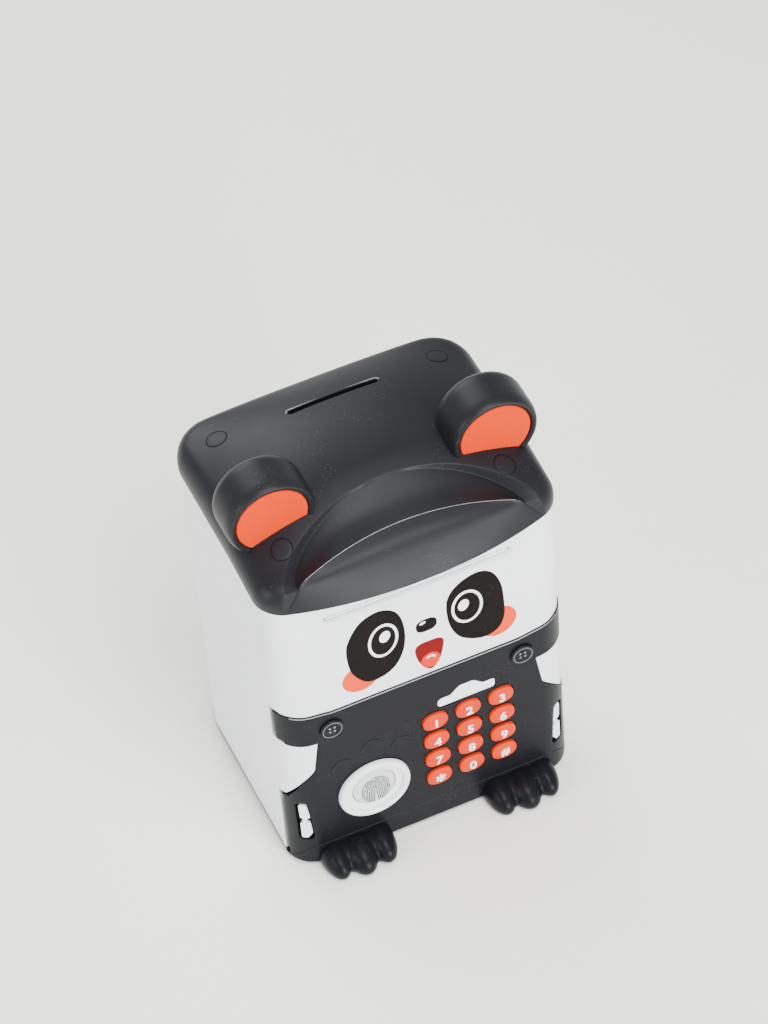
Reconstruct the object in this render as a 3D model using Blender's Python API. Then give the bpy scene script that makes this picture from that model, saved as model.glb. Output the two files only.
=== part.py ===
"""Panda savings bank: body with a wrap-round keypad door, domed lid with ears, note feeder and coin chute.

Sizes are in millimetres and are turned to metres when a mesh is stored. The frame has +Z up, its origin on
the floor under the middle of the bank, and the face looks along -Y. A "rise" is a height above the body's
underside. Places on the front are given as (along, rise): along is measured on the outer skin, round the
corner where the skin bends.
"""

import math

import bmesh
import bpy
from mathutils import Vector

MM = 0.001
GAP = 0.3
RUNNING_GAP = 0.35
CIRCLE = 20

# Body
BODY_WIDTH = 130.0
BODY_DEPTH = 103.7
RIM_RISE_BACK = 164.1
RIM_RISE_FRONT = 161.6
RIM_SLOPE_LENGTH = 23.0
FRONT_RADIUS = 13.0
BACK_RADIUS = 19.0
WALL = 2.4
FLANGE = 1.0
FOOT_LIFT = 3.0
FOOT_REACH = 17.0
LID_OVERHANG = 0.7

# Places that follow from the body's sizes
FRONT_Y = (FOOT_REACH - BODY_DEPTH - LID_OVERHANG) / 2
BACK_Y = FRONT_Y + BODY_DEPTH
MID_Y = FRONT_Y + BODY_DEPTH / 2
HALF_WIDTH = BODY_WIDTH / 2
FLAT_HALF = HALF_WIDTH - FRONT_RADIUS
CORNER_LENGTH = FRONT_RADIUS * math.pi / 2
INNER_X = HALF_WIDTH - WALL
INNER_FRONT_Y = FRONT_Y + WALL
INNER_BACK_Y = BACK_Y - WALL

# Door: a dark panel shaped like dungarees, whose strap and pocket wrap round both front corners
DOOR_SKIN = 2.4
DOOR_PROUD = 0.5
WRAP_ANGLE = math.radians(80.0)
WRAP_END = FLAT_HALF + FRONT_RADIUS * WRAP_ANGLE
STRAP_RISE = 93.0
STRAP_END_RISE = 97.2
STRAP_LOW_RISE = 76.4
POCKET_END_RISE = 42.4
NOTCH_HALF = FLAT_HALF - 2.7
PLINTH_RISE = 9.4
PLINTH_DROP = 1.0
PLINTH_PROUD = 0.5
PLINTH_SKIN = 4.0
BARREL_RADIUS = 2.4
PIN_RADIUS = 1.0
HINGE_ANGLE = math.radians(67.0)
HINGE_END = FLAT_HALF + FRONT_RADIUS * HINGE_ANGLE
HINGE_BOSS = 1.9
POST_EDGE_REACH = 4.0
HINGE_RING = FRONT_RADIUS - BARREL_RADIUS + DOOR_PROUD - GAP
HINGE_X = -(FLAT_HALF + HINGE_RING * math.sin(HINGE_ANGLE))
HINGE_Y = FRONT_Y + FRONT_RADIUS - HINGE_RING * math.cos(HINGE_ANGLE)

# Keys, pad and trims on the door
KEYPAD_X = 17.4
KEYPAD_RISE = 43.75
KEY_PITCH_X = 15.06
KEY_PITCH_Z = 12.2
KEY_WIDTH = 11.5
KEY_HEIGHT = 9.4
KEY_PROUD = 2.6
KEY_LIP = 0.6
KEY_BACK = 3.2
KEY_TRAVEL = 1.2
PAD_X = -27.3
PAD_RISE = 35.3
RING_RADIUS = 16.2
RING_PROUD = 3.3
RING_STEM = 12.6
PAD_RADIUS = 9.6
PAD_FRONT = -1.3
PAD_BACK = 3.4
PAD_TRAVEL = 1.0
BUTTON_X = FLAT_HALF - 8.8
BUTTON_RISE = 83.0
BUTTON_RADIUS = 5.3
LENS_X = 17.6
LENS_HALF = 13.2
LENS_LOW = 68.2
LENS_HIGH = 74.0
LENS_HUMP = 3.8
LENS_SINK = 0.1
LENS_BACK = 3.2
CLASP_ALONG = FLAT_HALF + 6.5
CLASP_LOW = 15.0
CLASP_HIGH = 39.0
CLASP_WIDTH = 6.2
BACK_COVER_HALF = 42.0
BACK_COVER_DEPTH = 15.0
BACK_COVER_LOW = 12.0
BACK_COVER_HIGH = 79.8
COVER_WALL = 1.6
MAT_DEPTHS = (4.7, 5.5)
BOARD_DEPTHS = (5.8, 7.4)
LOCK_RISE = 58.0
LOCK_DEPTH = 19.5
LOCK_HALF = 4.0
LOCK_FAR_X = 47.5
BOLT_HALF = 2.2
BOLT_TRAVEL = 6.5
KEEPER_X = 51.0

# Slots
NOTE_SLOT_WIDTH = 82.0
NOTE_SLOT_RISE = 149.2
NOTE_SLOT_HEIGHT = 2.2
COIN_SLOT_WIDTH = 40.0
COIN_SLOT_BREADTH = 3.0
COIN_SLOT_Y = 25.7

# Lid: a dome that is swept down to a peak (visor) in front. Plan places are from the body's middle
LID_RADIUS_FRONT = 14.0
LID_SKIRT = 2.0
LID_EDGE_RISE = 7.5
LID_EDGE_RUN = 6.0
LID_CROWN = 17.0
LID_ROOF = 2.4
LID_FRONT = -BODY_DEPTH / 2
VISOR_REACH = 8.15 - LID_FRONT
VISOR_END_X = HALF_WIDTH - 8.0
CREASE_END = (HALF_WIDTH - 17.5, LID_FRONT + 3.35, 173.0)
CREASE_CENTRE = (LID_FRONT + 10.35, 178.5)
ARCH_END = (HALF_WIDTH - 15.0, LID_FRONT + 2.35, 170.3)
ARCH_CENTRE_Y = LID_FRONT + 28.35
SHOULDER_END = (HALF_WIDTH - 9.5, LID_FRONT + 1.65)
SHOULDER_STEP = 1.2
SHOULDER_CENTRE_Y = LID_FRONT + 31.35
SCOOP_DEPTH = 1.2
VISOR_BULGE = 2.5
VISOR_COLUMNS = 14
CORNER_SHARES = (0.0, 0.4, 0.75, 0.93, 1.0)
LID_ROWS = (0.0, 0.012, 0.04, 0.09, 0.2, 0.4, 0.62, 0.8, 0.9, 0.955, 0.985, 1.0)
SCREW_WELLS = ((HALF_WIDTH - 16.1, LID_FRONT + 19.25), (HALF_WIDTH - 15.8, -LID_FRONT - 19.55))
PLUG_RADIUS = 4.25
WELL_DEPTH = 7.0
TOWER_RADIUS = 5.8
BODY_TOWER_RADIUS = 4.0
TOWER_TOP_RISE = 160.0
TOWER_LENGTH = 12.0
SCREW_RADIUS = 1.3
BASE_SCREW = (52.0, 6.0)

# Ears
EAR_X = 48.8
EAR_RISE = 188.0
EAR_RADIUS = 19.1
EAR_FRONT_Y = -26.0
EAR_BACK_Y = -4.0
EAR_ROUND = 7.0
INSET_RADIUS = 15.4
INSET_SINK = 2.4
INSET_THICK = 1.6

# Feet
FOOT_X = 38.3
TOE_XS = (-10.6, 0.0, 10.4)
TOE_RADII = (6.3, 7.2, 6.0)
TOE_REACHES = (15.2, 17.0, 14.6)
TOE_TOP_RISE = 8.4
REAR_PAD_RADIUS = 7.0
REAR_PAD_X = 44.0
REAR_PAD_Y = BACK_Y - 16.0

# Batteries and their box
TRAY_THICK = 3.2
CELL_RADIUS = 7.1
CELL_LENGTH = 50.0
CELL_PITCH = 14.9
CELL_COUNT = 3
CELL_SEAT = TRAY_THICK + GAP
BATTERY_Y = 18.0
BATTERY_WALL = 1.6
CONTACT_ROOM = 3.0
COVER_HALF = 27.5
COVER_TONGUE = 1.5
COVER_THICK = 1.8
COVER_FRONT_Y = -6.0
COVER_TRAVEL = 50.0

# Note feeder
ROLLER_RADIUS = 6.0
IDLER_RADIUS = 3.2
ROLLER_LENGTH = 14.0
ROLLER_PITCH = 27.0
ROLLER_Y = -33.0
NIP = 0.15
SHAFT_RADIUS = 1.5
FEEDER_HALF = 42.2
FEEDER_WALL = 1.2
FEEDER_LOW = 134.0
FEEDER_HIGH = 158.0
FEEDER_BACK_Y = -24.0
FEEDER_FRONT_GAP = GAP
GEAR_TEETH = 24
PINION_TEETH = 10
GEAR_MODULE = 0.6
GEAR_THICK = 1.8
GEAR_SLACK = 0.2
MOTOR_ANGLE = math.radians(30.0)
MOTOR_RADIUS = 6.0
MOTOR_LENGTH = 15.0

# Speaker in the back wall
SPEAKER_RISE = 72.0
SPEAKER_RADIUS = 17.0
SPEAKER_HOLE = 1.8
SPEAKER_HOLE_PITCH = 6.5

# Finishes: colour, roughness and metallic value
CHARCOAL = ((0.045, 0.046, 0.052), 0.38)
WHITE = ((0.86, 0.87, 0.89), 0.32)
ORANGE = ((0.91, 0.19, 0.045), 0.40)
LIGHT_GREY = ((0.72, 0.73, 0.75), 0.40)
DARK_GREY = ((0.10, 0.10, 0.11), 0.55)
RUBBER = ((0.03, 0.03, 0.03), 0.85)
STEEL = ((0.60, 0.60, 0.62), 0.30, 1.0)
BRASS = ((0.78, 0.57, 0.25), 0.30, 1.0)
BOARD_GREEN = ((0.03, 0.20, 0.07), 0.50)
GEAR_WHITE = ((0.85, 0.85, 0.80), 0.50)


def rise(value):
    """World height of a place that is this far above the body's underside."""
    return FOOT_LIFT + value


def plan(y):
    """World y of a place given from the body's middle."""
    return MID_Y + y


def clear_scene():
    for old in list(bpy.data.objects):
        bpy.data.objects.remove(old, do_unlink=True)


def finish(name, colour, roughness, metallic=0.0):
    material = bpy.data.materials.new(name)
    material.use_nodes = True
    shader = material.node_tree.nodes["Principled BSDF"]
    shader.inputs["Base Color"].default_value = (*colour, 1.0)
    shader.inputs["Roughness"].default_value = roughness
    shader.inputs["Metallic"].default_value = metallic
    return material


def axis_empty(name, place):
    empty = bpy.data.objects.new(name, None)
    empty.location = Vector(place) * MM
    bpy.context.scene.collection.objects.link(empty)
    return empty


def add(name, bm, colour, origin=(0.0, 0.0, 0.0), parent=None, smooth=True):
    """Store a mesh drawn in world millimetres as an object whose origin is at the given place."""
    bmesh.ops.remove_doubles(bm, verts=bm.verts, dist=0.0005)
    bmesh.ops.recalc_face_normals(bm, faces=bm.faces)
    if bm.calc_volume(signed=True) < 0:
        bmesh.ops.reverse_faces(bm, faces=bm.faces)
    for vert in bm.verts:
        vert.co = (vert.co - Vector(origin)) * MM
    mesh = bpy.data.meshes.new(name)
    bm.to_mesh(mesh)
    bm.free()
    mesh.materials.append(finish(name, *colour))
    if smooth:
        mesh.shade_smooth()
        mesh.set_sharp_from_angle(angle=math.radians(35))
    obj = bpy.data.objects.new(name, mesh)
    bpy.context.scene.collection.objects.link(obj)
    obj.location = Vector(origin) * MM
    if parent is not None:
        obj.parent = parent
        obj.location -= parent.location
    return obj


def helper(name, bm):
    """A solid that only cuts or joins another: hidden in renders and drawn as wire."""
    obj = add(name, bm, ((0.5, 0.5, 0.5), 0.5), smooth=False)
    obj.hide_render = True
    obj.display_type = "WIRE"
    return obj


def boolean(obj, tool, operation="DIFFERENCE"):
    if isinstance(tool, bmesh.types.BMesh):
        tool = helper(f"{obj.name}_{operation.lower()}_{len(obj.modifiers) + 1}", tool)
    modifier = obj.modifiers.new(tool.name, "BOOLEAN")
    modifier.operation = operation
    modifier.solver = "EXACT"
    modifier.object = tool


# ---------------------------------------------------------------- solids


def skin(bm, rings):
    """Join rings of equally many points with quads, each ring closed on itself."""
    loops = [[bm.verts.new(point) for point in ring] for ring in rings]
    for low, high in zip(loops, loops[1:]):
        count = len(low)
        for i in range(count):
            bm.faces.new((low[i], low[(i + 1) % count], high[(i + 1) % count], high[i]))
    return loops


def loft(rings):
    """A closed solid through rings, with flat ends."""
    bm = bmesh.new()
    loops = skin(bm, rings)
    bm.faces.new(loops[0])
    bm.faces.new(loops[-1])
    return bm


def domed(rings, peak):
    """A closed solid through rings, with a flat start and a fan of faces up to a point at its end."""
    bm = bmesh.new()
    loops = skin(bm, rings)
    bm.faces.new(loops[0])
    centre = bm.verts.new(peak)
    for i in range(len(loops[-1])):
        bm.faces.new((loops[-1][i], loops[-1][(i + 1) % len(loops[-1])], centre))
    return bm


def tube(rings):
    """A ring-shaped solid: the last ring is joined to the first."""
    bm = bmesh.new()
    skin(bm, rings + rings[:1])
    return bm


def join(*parts):
    """Several separate solids in one mesh."""
    bm = bmesh.new()
    for part in parts:
        mesh = bpy.data.meshes.new("joined")
        part.to_mesh(mesh)
        part.free()
        bm.from_mesh(mesh)
        bpy.data.meshes.remove(mesh)
    return bm


def at(axis, a, b, level):
    """A point on the plane across an axis: a and b run along the two other axes in X, Y, Z order."""
    return {"X": (level, a, b), "Y": (a, level, b), "Z": (a, b, level)}[axis]


def prism(outline, axis, low, high):
    return loft([[at(axis, a, b, level) for a, b in outline] for level in (low, high)])


def block(x_range, y_range, z_range):
    (x0, x1), (y0, y1), (z0, z1) = x_range, y_range, z_range
    return prism([(x0, y0), (x1, y0), (x1, y1), (x0, y1)], "Z", z0, z1)


def circle(a, b, radius, count=CIRCLE):
    turns = [2 * math.pi * i / count for i in range(count)]
    return [(a + radius * math.cos(t), b + radius * math.sin(t)) for t in turns]


def rod(axis, a, b, radius, low, high, count=CIRCLE):
    return prism(circle(a, b, radius, count), axis, low, high)


def turned(axis, a, b, profile, count=CIRCLE):
    """A solid of revolution round an axis through (a, b). The profile is (radius, level) from end to end."""
    rings = []
    for radius, level in profile:
        rings.append([at(axis, p, q, level) for p, q in circle(a, b, radius, count)])
    return loft(rings)


def turned_ring(axis, a, b, profile, count=CIRCLE):
    """A solid of revolution with a hole through it. The profile is a closed loop of (radius, level)."""
    rings = []
    for radius, level in profile:
        rings.append([at(axis, p, q, level) for p, q in circle(a, b, radius, count)])
    return tube(rings)


def stadium(a, b, half, radius, count=8):
    """An outline with round ends, along the first axis."""
    right = [(a + half + radius * math.sin(t), b - radius * math.cos(t)) for t in half_turn(count)]
    left = [(a - half - radius * math.sin(t), b + radius * math.cos(t)) for t in half_turn(count)]
    return right + left


def half_turn(count):
    return [math.pi * i / count for i in range(count + 1)]


def oval(a, b, width, height, count=CIRCLE, power=2.4):
    """A superellipse."""
    points = []
    for i in range(count):
        turn = 2 * math.pi * i / count
        across, up = math.cos(turn), math.sin(turn)
        x = math.copysign(abs(across) ** (2 / power), across) * width / 2
        y = math.copysign(abs(up) ** (2 / power), up) * height / 2
        points.append((a + x, b + y))
    return points


def rounded(corners, steps=4):
    """Turn (a, b, radius) corners into an outline whose corners are arcs."""
    outline = []
    count = len(corners)
    for i, (a, b, radius) in enumerate(corners):
        here = Vector((a, b))
        if radius == 0:
            outline.append((a, b))
            continue
        before = (Vector(corners[i - 1][:2]) - here).normalized()
        after = (Vector(corners[(i + 1) % count][:2]) - here).normalized()
        half = before.angle(after) / 2
        centre = here + (before + after).normalized() * radius / math.sin(half)
        start = here + before * radius / math.tan(half) - centre
        sweep = start.angle_signed(here + after * radius / math.tan(half) - centre)
        for step in range(steps + 1):
            turn = -sweep * step / steps
            x = start.x * math.cos(turn) - start.y * math.sin(turn)
            y = start.x * math.sin(turn) + start.y * math.cos(turn)
            outline.append((centre.x + x, centre.y + y))
    return outline


def offset(outline, distance):
    """Move a counterclockwise outline outwards, with mitred corners."""
    moved = []
    count = len(outline)
    for i in range(count):
        here = Vector(outline[i])
        before = (here - Vector(outline[i - 1])).normalized()
        after = (Vector(outline[(i + 1) % count]) - here).normalized()
        out_before = Vector((before.y, -before.x))
        out_after = Vector((after.y, -after.x))
        across = (out_before + out_after).normalized()
        reach = distance / max(across.dot(out_before), 0.4)
        moved.append(tuple(here + across * reach))
    return moved


# ---------------------------------------------------------------- body outline and the wrapped front


def body_outline(inset, steps=6):
    """Plan of the body as seen from above, counterclockwise, with points where the rim starts to slope."""
    half = HALF_WIDTH - inset
    front, back = FRONT_Y + inset, BACK_Y - inset
    front_radius, back_radius = FRONT_RADIUS - inset, BACK_RADIUS - inset
    slope_start = FRONT_Y + FRONT_RADIUS + RIM_SLOPE_LENGTH
    corners = (
        (half - back_radius, back - back_radius, back_radius, 0.0),
        (back_radius - half, back - back_radius, back_radius, 90.0),
        (front_radius - half, front + front_radius, front_radius, 180.0),
        (half - front_radius, front + front_radius, front_radius, 270.0),
    )
    points = []
    for x, y, radius, first in corners:
        for step in range(steps + 1):
            turn = math.radians(first + 90.0 * step / steps)
            points.append((x + radius * math.cos(turn), y + radius * math.sin(turn)))
        if first == 90.0:
            points.append((-half, slope_start))
    points.append((half, slope_start))
    return points


def rim_rise(y):
    """Height of the body's rim, which slopes down towards the front corners."""
    run = min(max((y - FRONT_Y - FRONT_RADIUS) / RIM_SLOPE_LENGTH, 0.0), 1.0)
    return RIM_RISE_FRONT + (RIM_RISE_BACK - RIM_RISE_FRONT) * run


def wrap(along, depth, height):
    """Place on the front skin, with the depth counted inwards from the body's outside."""
    side = math.copysign(1.0, along)
    far = abs(along)
    radius = FRONT_RADIUS - depth
    if far <= FLAT_HALF:
        return (along, FRONT_Y + depth, rise(height))
    turn = min((far - FLAT_HALF) / FRONT_RADIUS, math.pi / 2)
    beyond = max(far - FLAT_HALF - CORNER_LENGTH, 0.0)
    x = FLAT_HALF + radius * math.sin(turn)
    y = FRONT_Y + FRONT_RADIUS - radius * math.cos(turn) + beyond
    return (side * x, y, rise(height))


def faceted(along, depth, height, columns):
    """Place on the front skin when each corner is made of flat facets."""
    past = abs(along) - FLAT_HALF
    if past <= 0:
        return wrap(along, depth, height)
    step = CORNER_LENGTH / columns
    facet = math.floor(past / step + 1e-6)
    start = math.copysign(FLAT_HALF + facet * step, along)
    end = math.copysign(FLAT_HALF + (facet + 1) * step, along)
    low, high = Vector(wrap(start, depth, height)), Vector(wrap(end, depth, height))
    return low.lerp(high, past / step - facet)


def wrapped(outline, outer, inner, columns=6):
    """A plate that follows the front skin from one depth to another."""
    bm = bmesh.new()
    bm.faces.new([bm.verts.new((along, 0.0, height)) for along, height in outline])
    bm.normal_update()
    bmesh.ops.triangulate(bm, faces=bm.faces[:])
    for column in range(columns + 1):
        for side in (-1, 1):
            where = side * (FLAT_HALF + CORNER_LENGTH * column / columns)
            everything = bm.verts[:] + bm.edges[:] + bm.faces[:]
            bmesh.ops.bisect_plane(bm, geom=everything, plane_co=(where, 0, 0), plane_no=(1, 0, 0))
    grown = bmesh.ops.extrude_face_region(bm, geom=bm.faces[:])["geom"]
    back = {element for element in grown if isinstance(element, bmesh.types.BMVert)}
    for vert in bm.verts:
        depth = inner if vert in back else outer
        vert.co = faceted(vert.co.x, depth, vert.co.z, columns)
    bm.normal_update()
    bmesh.ops.dissolve_limit(bm, angle_limit=0.0005, verts=bm.verts[:], edges=bm.edges[:])
    return bm


def door_half(end):
    """Right-hand half of the door's outline from bottom to top, as (along, rise, corner radius)."""
    return [
        (FLAT_HALF + 5.0, PLINTH_RISE + GAP, 5.0),
        (min(FLAT_HALF + 14.3, end - 1.0), FLANGE + 2 * GAP, 0.0),
        (end, FLANGE + 2 * GAP, 0.0),
        (end, POCKET_END_RISE, 0.0),
        (FLAT_HALF + 14.0, POCKET_END_RISE + 0.5, 2.8),
        (FLAT_HALF + 5.5, POCKET_END_RISE + 10.6, 4.0),
        (NOTCH_HALF + 2.6, POCKET_END_RISE + 16.6, 5.0),
        (NOTCH_HALF, STRAP_LOW_RISE, 0.6),
        (FLAT_HALF + 11.0, STRAP_LOW_RISE + 1.6, 6.0),
        (end, STRAP_LOW_RISE + 3.0, 0.0),
        (end, STRAP_END_RISE, 0.0),
        (FLAT_HALF + 8.0, STRAP_END_RISE - 1.0, 12.0),
        (FLAT_HALF - 10.0, STRAP_RISE, 14.0),
    ]


def door_outline(left_end=WRAP_END):
    left = [(-a, b, radius) for a, b, radius in reversed(door_half(left_end))]
    return rounded(door_half(WRAP_END) + left)


def plinth_outline():
    half = [
        (FLAT_HALF + 5.0, PLINTH_RISE, 5.0),
        (FLAT_HALF + 14.0, FLANGE + GAP, 0.0),
        (WRAP_END, FLANGE - 0.2, 0.0),
        (WRAP_END, 0.2, 0.0),
        (FLAT_HALF + 8.0, -PLINTH_DROP, 6.0),
    ]
    return rounded(list(reversed(half)) + [(-a, b, radius) for a, b, radius in half])


def cut_front_opening(shell):
    """Cut the door's outline, with a gap, and carry the hole on down past the plinth."""
    far = WRAP_END + GAP
    upper = [(along, height) for along, height in offset(door_outline(), GAP) if height > POCKET_END_RISE - 4.0]
    boolean(shell, wrapped([(far, -8.0)] + upper + [(-far, -8.0)], -2.0, WALL + 2.0, 5))
    for low, high in barrel_spans():
        boolean(shell, rod("Z", HINGE_X, HINGE_Y, BARREL_RADIUS + GAP, rise(low - GAP), rise(high + GAP)))


def barrel_spans():
    """Heights of the door's two hinge barrels."""
    return (
        (TRAY_THICK + 2 * GAP, POCKET_END_RISE - 1.0),
        (STRAP_LOW_RISE + 3.6, STRAP_END_RISE - 1.6),
    )


# ---------------------------------------------------------------- lid surface


def lid_inset_distance(x, y):
    """How far inside the lid's plan outline a place is, seen from above."""
    radius = LID_RADIUS_FRONT if y < 0 else BACK_RADIUS
    half_x = HALF_WIDTH + LID_OVERHANG
    half_y = BODY_DEPTH / 2 + LID_OVERHANG
    over_x = abs(x) - half_x + radius
    over_y = abs(y) - half_y + radius
    outside = math.hypot(max(over_x, 0.0), max(over_y, 0.0))
    return radius - outside - min(max(over_x, over_y), 0.0)


def lid_rise(x, y):
    """Height of the lid's dome above the body's underside."""
    run = min(max(lid_inset_distance(x, y), 0.0) / LID_EDGE_RUN, 1.0)
    edge = LID_SKIRT + LID_EDGE_RISE * math.sqrt(1 - (1 - run) ** 2)
    across = 1 - min(abs(x) / (HALF_WIDTH + 1.0), 1.0) ** 2.6
    along = 1 - min(abs(y) / (1.15 - LID_FRONT), 1.0) ** 2.1
    return rim_rise(plan(y)) + edge + LID_CROWN * across * along


def lid_front(x):
    """Plan y of the lid's outline at the front corners, from the middle of the body."""
    over = max(abs(x) - HALF_WIDTH - LID_OVERHANG + LID_RADIUS_FRONT, 0.0)
    start = LID_RADIUS_FRONT - BODY_DEPTH / 2 - LID_OVERHANG
    return start - math.sqrt(max(LID_RADIUS_FRONT**2 - over**2, 0.0))


def lid_back(x):
    """Plan y of the lid's outline at the back, from the middle of the body."""
    over = max(abs(x) - HALF_WIDTH - LID_OVERHANG + BACK_RADIUS, 0.0)
    start = BODY_DEPTH / 2 + LID_OVERHANG - BACK_RADIUS
    return start + math.sqrt(max(BACK_RADIUS**2 - over**2, 0.0))


def shoulder_point(s, c):
    """The line where the peak's shoulder leaves the dome."""
    near = ARCH_END[0] + SHOULDER_STEP
    x = (near + (SHOULDER_END[0] - near) * abs(s) ** 8) * s
    y = SHOULDER_END[1] + (SHOULDER_CENTRE_Y - SHOULDER_END[1]) * c
    return Vector((x, y, lid_rise(x, y)))


def visor_column(s):
    """Points up one column of the peak, from its lower edge to the shoulder where it meets the dome."""
    c = math.sqrt(max(1 - s * s, 0.0))
    end_y = lid_front(VISOR_END_X)
    edge_y = end_y - (VISOR_REACH + end_y) * (1 - abs(s) ** 2.2)
    edge = Vector((VISOR_END_X * s, edge_y, RIM_RISE_FRONT))
    crease_y = CREASE_END[1] + (CREASE_CENTRE[0] - CREASE_END[1]) * (1 - s * s)
    crease_z = CREASE_END[2] + (CREASE_CENTRE[1] - CREASE_END[2]) * (1 - s * s)
    crease = Vector((CREASE_END[0] * s, crease_y, crease_z))
    arch_y = ARCH_END[1] + (ARCH_CENTRE_Y - ARCH_END[1]) * c
    centre_z = lid_rise(0.0, ARCH_CENTRE_Y) - 0.3
    arch = Vector((ARCH_END[0] * s, arch_y, ARCH_END[2] + (centre_z - ARCH_END[2]) * c**2.3))
    bulge = Vector((0.0, -0.67, 0.74)) * VISOR_BULGE * c
    low = edge.lerp(crease, 0.33) + bulge * 0.86
    high = edge.lerp(crease, 0.7) + bulge * 0.81
    scoop = crease.lerp(arch, 0.5) - Vector((0.0, 0.0, SCOOP_DEPTH * c))
    return [edge, low, high, crease, scoop, arch, shoulder_point(s, c)]


def lid_surface(bm, place):
    """Draw the lid's upper surface and return its lower edge as a closed loop of vertices."""
    turns = [math.pi * (i / VISOR_COLUMNS - 0.5) for i in range(VISOR_COLUMNS + 1)]
    visor = [visor_column(math.sin(turn)) for turn in turns]
    outer_x = [VISOR_END_X + (HALF_WIDTH + LID_OVERHANG - VISOR_END_X) * share for share in CORNER_SHARES]
    fronts = [Vector((x, lid_front(x), 0.0)) for x in outer_x]
    mirror = [Vector((-point.x, point.y, 0.0)) for point in reversed(fronts)]
    starts = mirror + [column[-1] for column in visor] + fronts
    rows = []
    for share in LID_ROWS:
        row = []
        for start in starts:
            y = start.y + (lid_back(start.x) - start.y) * share
            row.append(bm.verts.new(place(Vector((start.x, y, lid_rise(start.x, y))))))
        rows.append(row)
    for low, high in zip(rows, rows[1:]):
        for i in range(len(starts) - 1):
            bm.faces.new((low[i], low[i + 1], high[i + 1], high[i]))
    corner = len(fronts)
    shoulder = rows[0][corner : corner + len(visor)]
    columns = [[bm.verts.new(place(point)) for point in column[:-1]] for column in visor]
    for column, end in zip(columns, shoulder):
        column.append(end)
    for left, right in zip(columns, columns[1:]):
        for i in range(len(left) - 1):
            bm.faces.new((left[i], right[i], right[i + 1], left[i + 1]))
    skirt_top = rows[0][corner + len(visor) :]
    skirt_top += [row[-1] for row in rows[1:]] + list(reversed(rows[-1][:-1]))
    skirt_top += [row[0] for row in reversed(rows[:-1])] + rows[0][1:corner]
    path = fronts + [Vector((fronts[-1].x, start_y, 0.0)) for start_y in side_ys()]
    path += [Vector((x.x, lid_back(x.x), 0.0)) for x in reversed(starts[:-1])]
    path += [Vector((-fronts[-1].x, y, 0.0)) for y in reversed(side_ys()[:-1])] + mirror
    path = path[: len(fronts) + len(rows) - 1 + len(starts) - 1 + len(rows) - 1 + corner - 1]
    low_edge = [columns[-1][0]]
    for point in path[1:-1]:
        rim = Vector((point.x, point.y, rim_rise(plan(point.y))))
        low_edge.append(bm.verts.new(place(rim)))
    low_edge.append(columns[0][0])
    for i in range(len(low_edge) - 1):
        bm.faces.new((low_edge[i], low_edge[i + 1], skirt_top[i + 1], skirt_top[i]))
    bm.faces.new([skirt_top[0]] + columns[-1])
    bm.faces.new([skirt_top[-1]] + columns[0])
    return low_edge + [column[0] for column in columns[1:-1]]


def side_ys():
    """Plan places of the lid's rows along its straight side, after the first."""
    x = HALF_WIDTH + LID_OVERHANG
    return [lid_front(x) + (lid_back(x) - lid_front(x)) * share for share in LID_ROWS[1:]]


def lid_outer_place(point, grow=0.0):
    """World place of a point on the lid's outer surface, or on one a little larger."""
    scale = 1 + grow / HALF_WIDTH
    return Vector((point.x * scale, plan(point.y * scale), rise(point.z + grow)))


def lid_inner_place(point):
    """World place of the matching point on the lid's hollow, which stays behind the body's front wall."""
    scale_x = (INNER_X - GAP) / (HALF_WIDTH + LID_OVERHANG)
    scale_y = (BODY_DEPTH / 2 - WALL - GAP) / (BODY_DEPTH / 2 + LID_OVERHANG)
    x = point.x * scale_x
    y = max(point.y * scale_y, GAP + WALL - BODY_DEPTH / 2)
    rim = rim_rise(plan(point.y))
    peak = lid_rise(0.0, 2.0) - RIM_RISE_BACK
    return Vector((x, plan(y), rise(rim + (point.z - rim) * (peak - LID_ROOF) / peak)))


def lid_cutter(grow=GAP):
    """A closed copy of the lid, a little larger, that trims what stands on it."""
    bm = bmesh.new()
    loop = lid_surface(bm, lambda point: lid_outer_place(point, grow))
    lower = [bm.verts.new((vert.co.x, vert.co.y, rise(RIM_RISE_FRONT - 20.0))) for vert in loop]
    count = len(loop)
    for i in range(count):
        bm.faces.new((loop[i], loop[(i + 1) % count], lower[(i + 1) % count], lower[i]))
    bm.faces.new(lower)
    return bm


def shoulder_y(x):
    """Plan y of the line where the peak's shoulder meets the dome."""
    s = min(abs(x) / (ARCH_END[0] + 2 * SHOULDER_STEP), 1.0)
    return shoulder_point(s, math.sqrt(1 - s * s)).y


def tower(x, y, radius, low, count=12):
    """A screw tower whose top follows the underside of the dome, and drops where the peak scoops it out."""
    base = circle(x, y, radius, count)
    ring = [(a, plan(b), rise(low)) for a, b in base]
    top = []
    for a, b in base:
        drop = 1.6 * max(shoulder_y(a) + 1.5 - b, 0.0)
        top.append((a, plan(b), rise(lid_rise(a, b) - LID_ROOF / 2 - drop)))
    return domed([ring, top], (x, plan(y), rise(lid_rise(x, y) - LID_ROOF / 2)))


def well_places():
    return [(side * x, y) for x, y in SCREW_WELLS for side in (-1, 1)]


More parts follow.
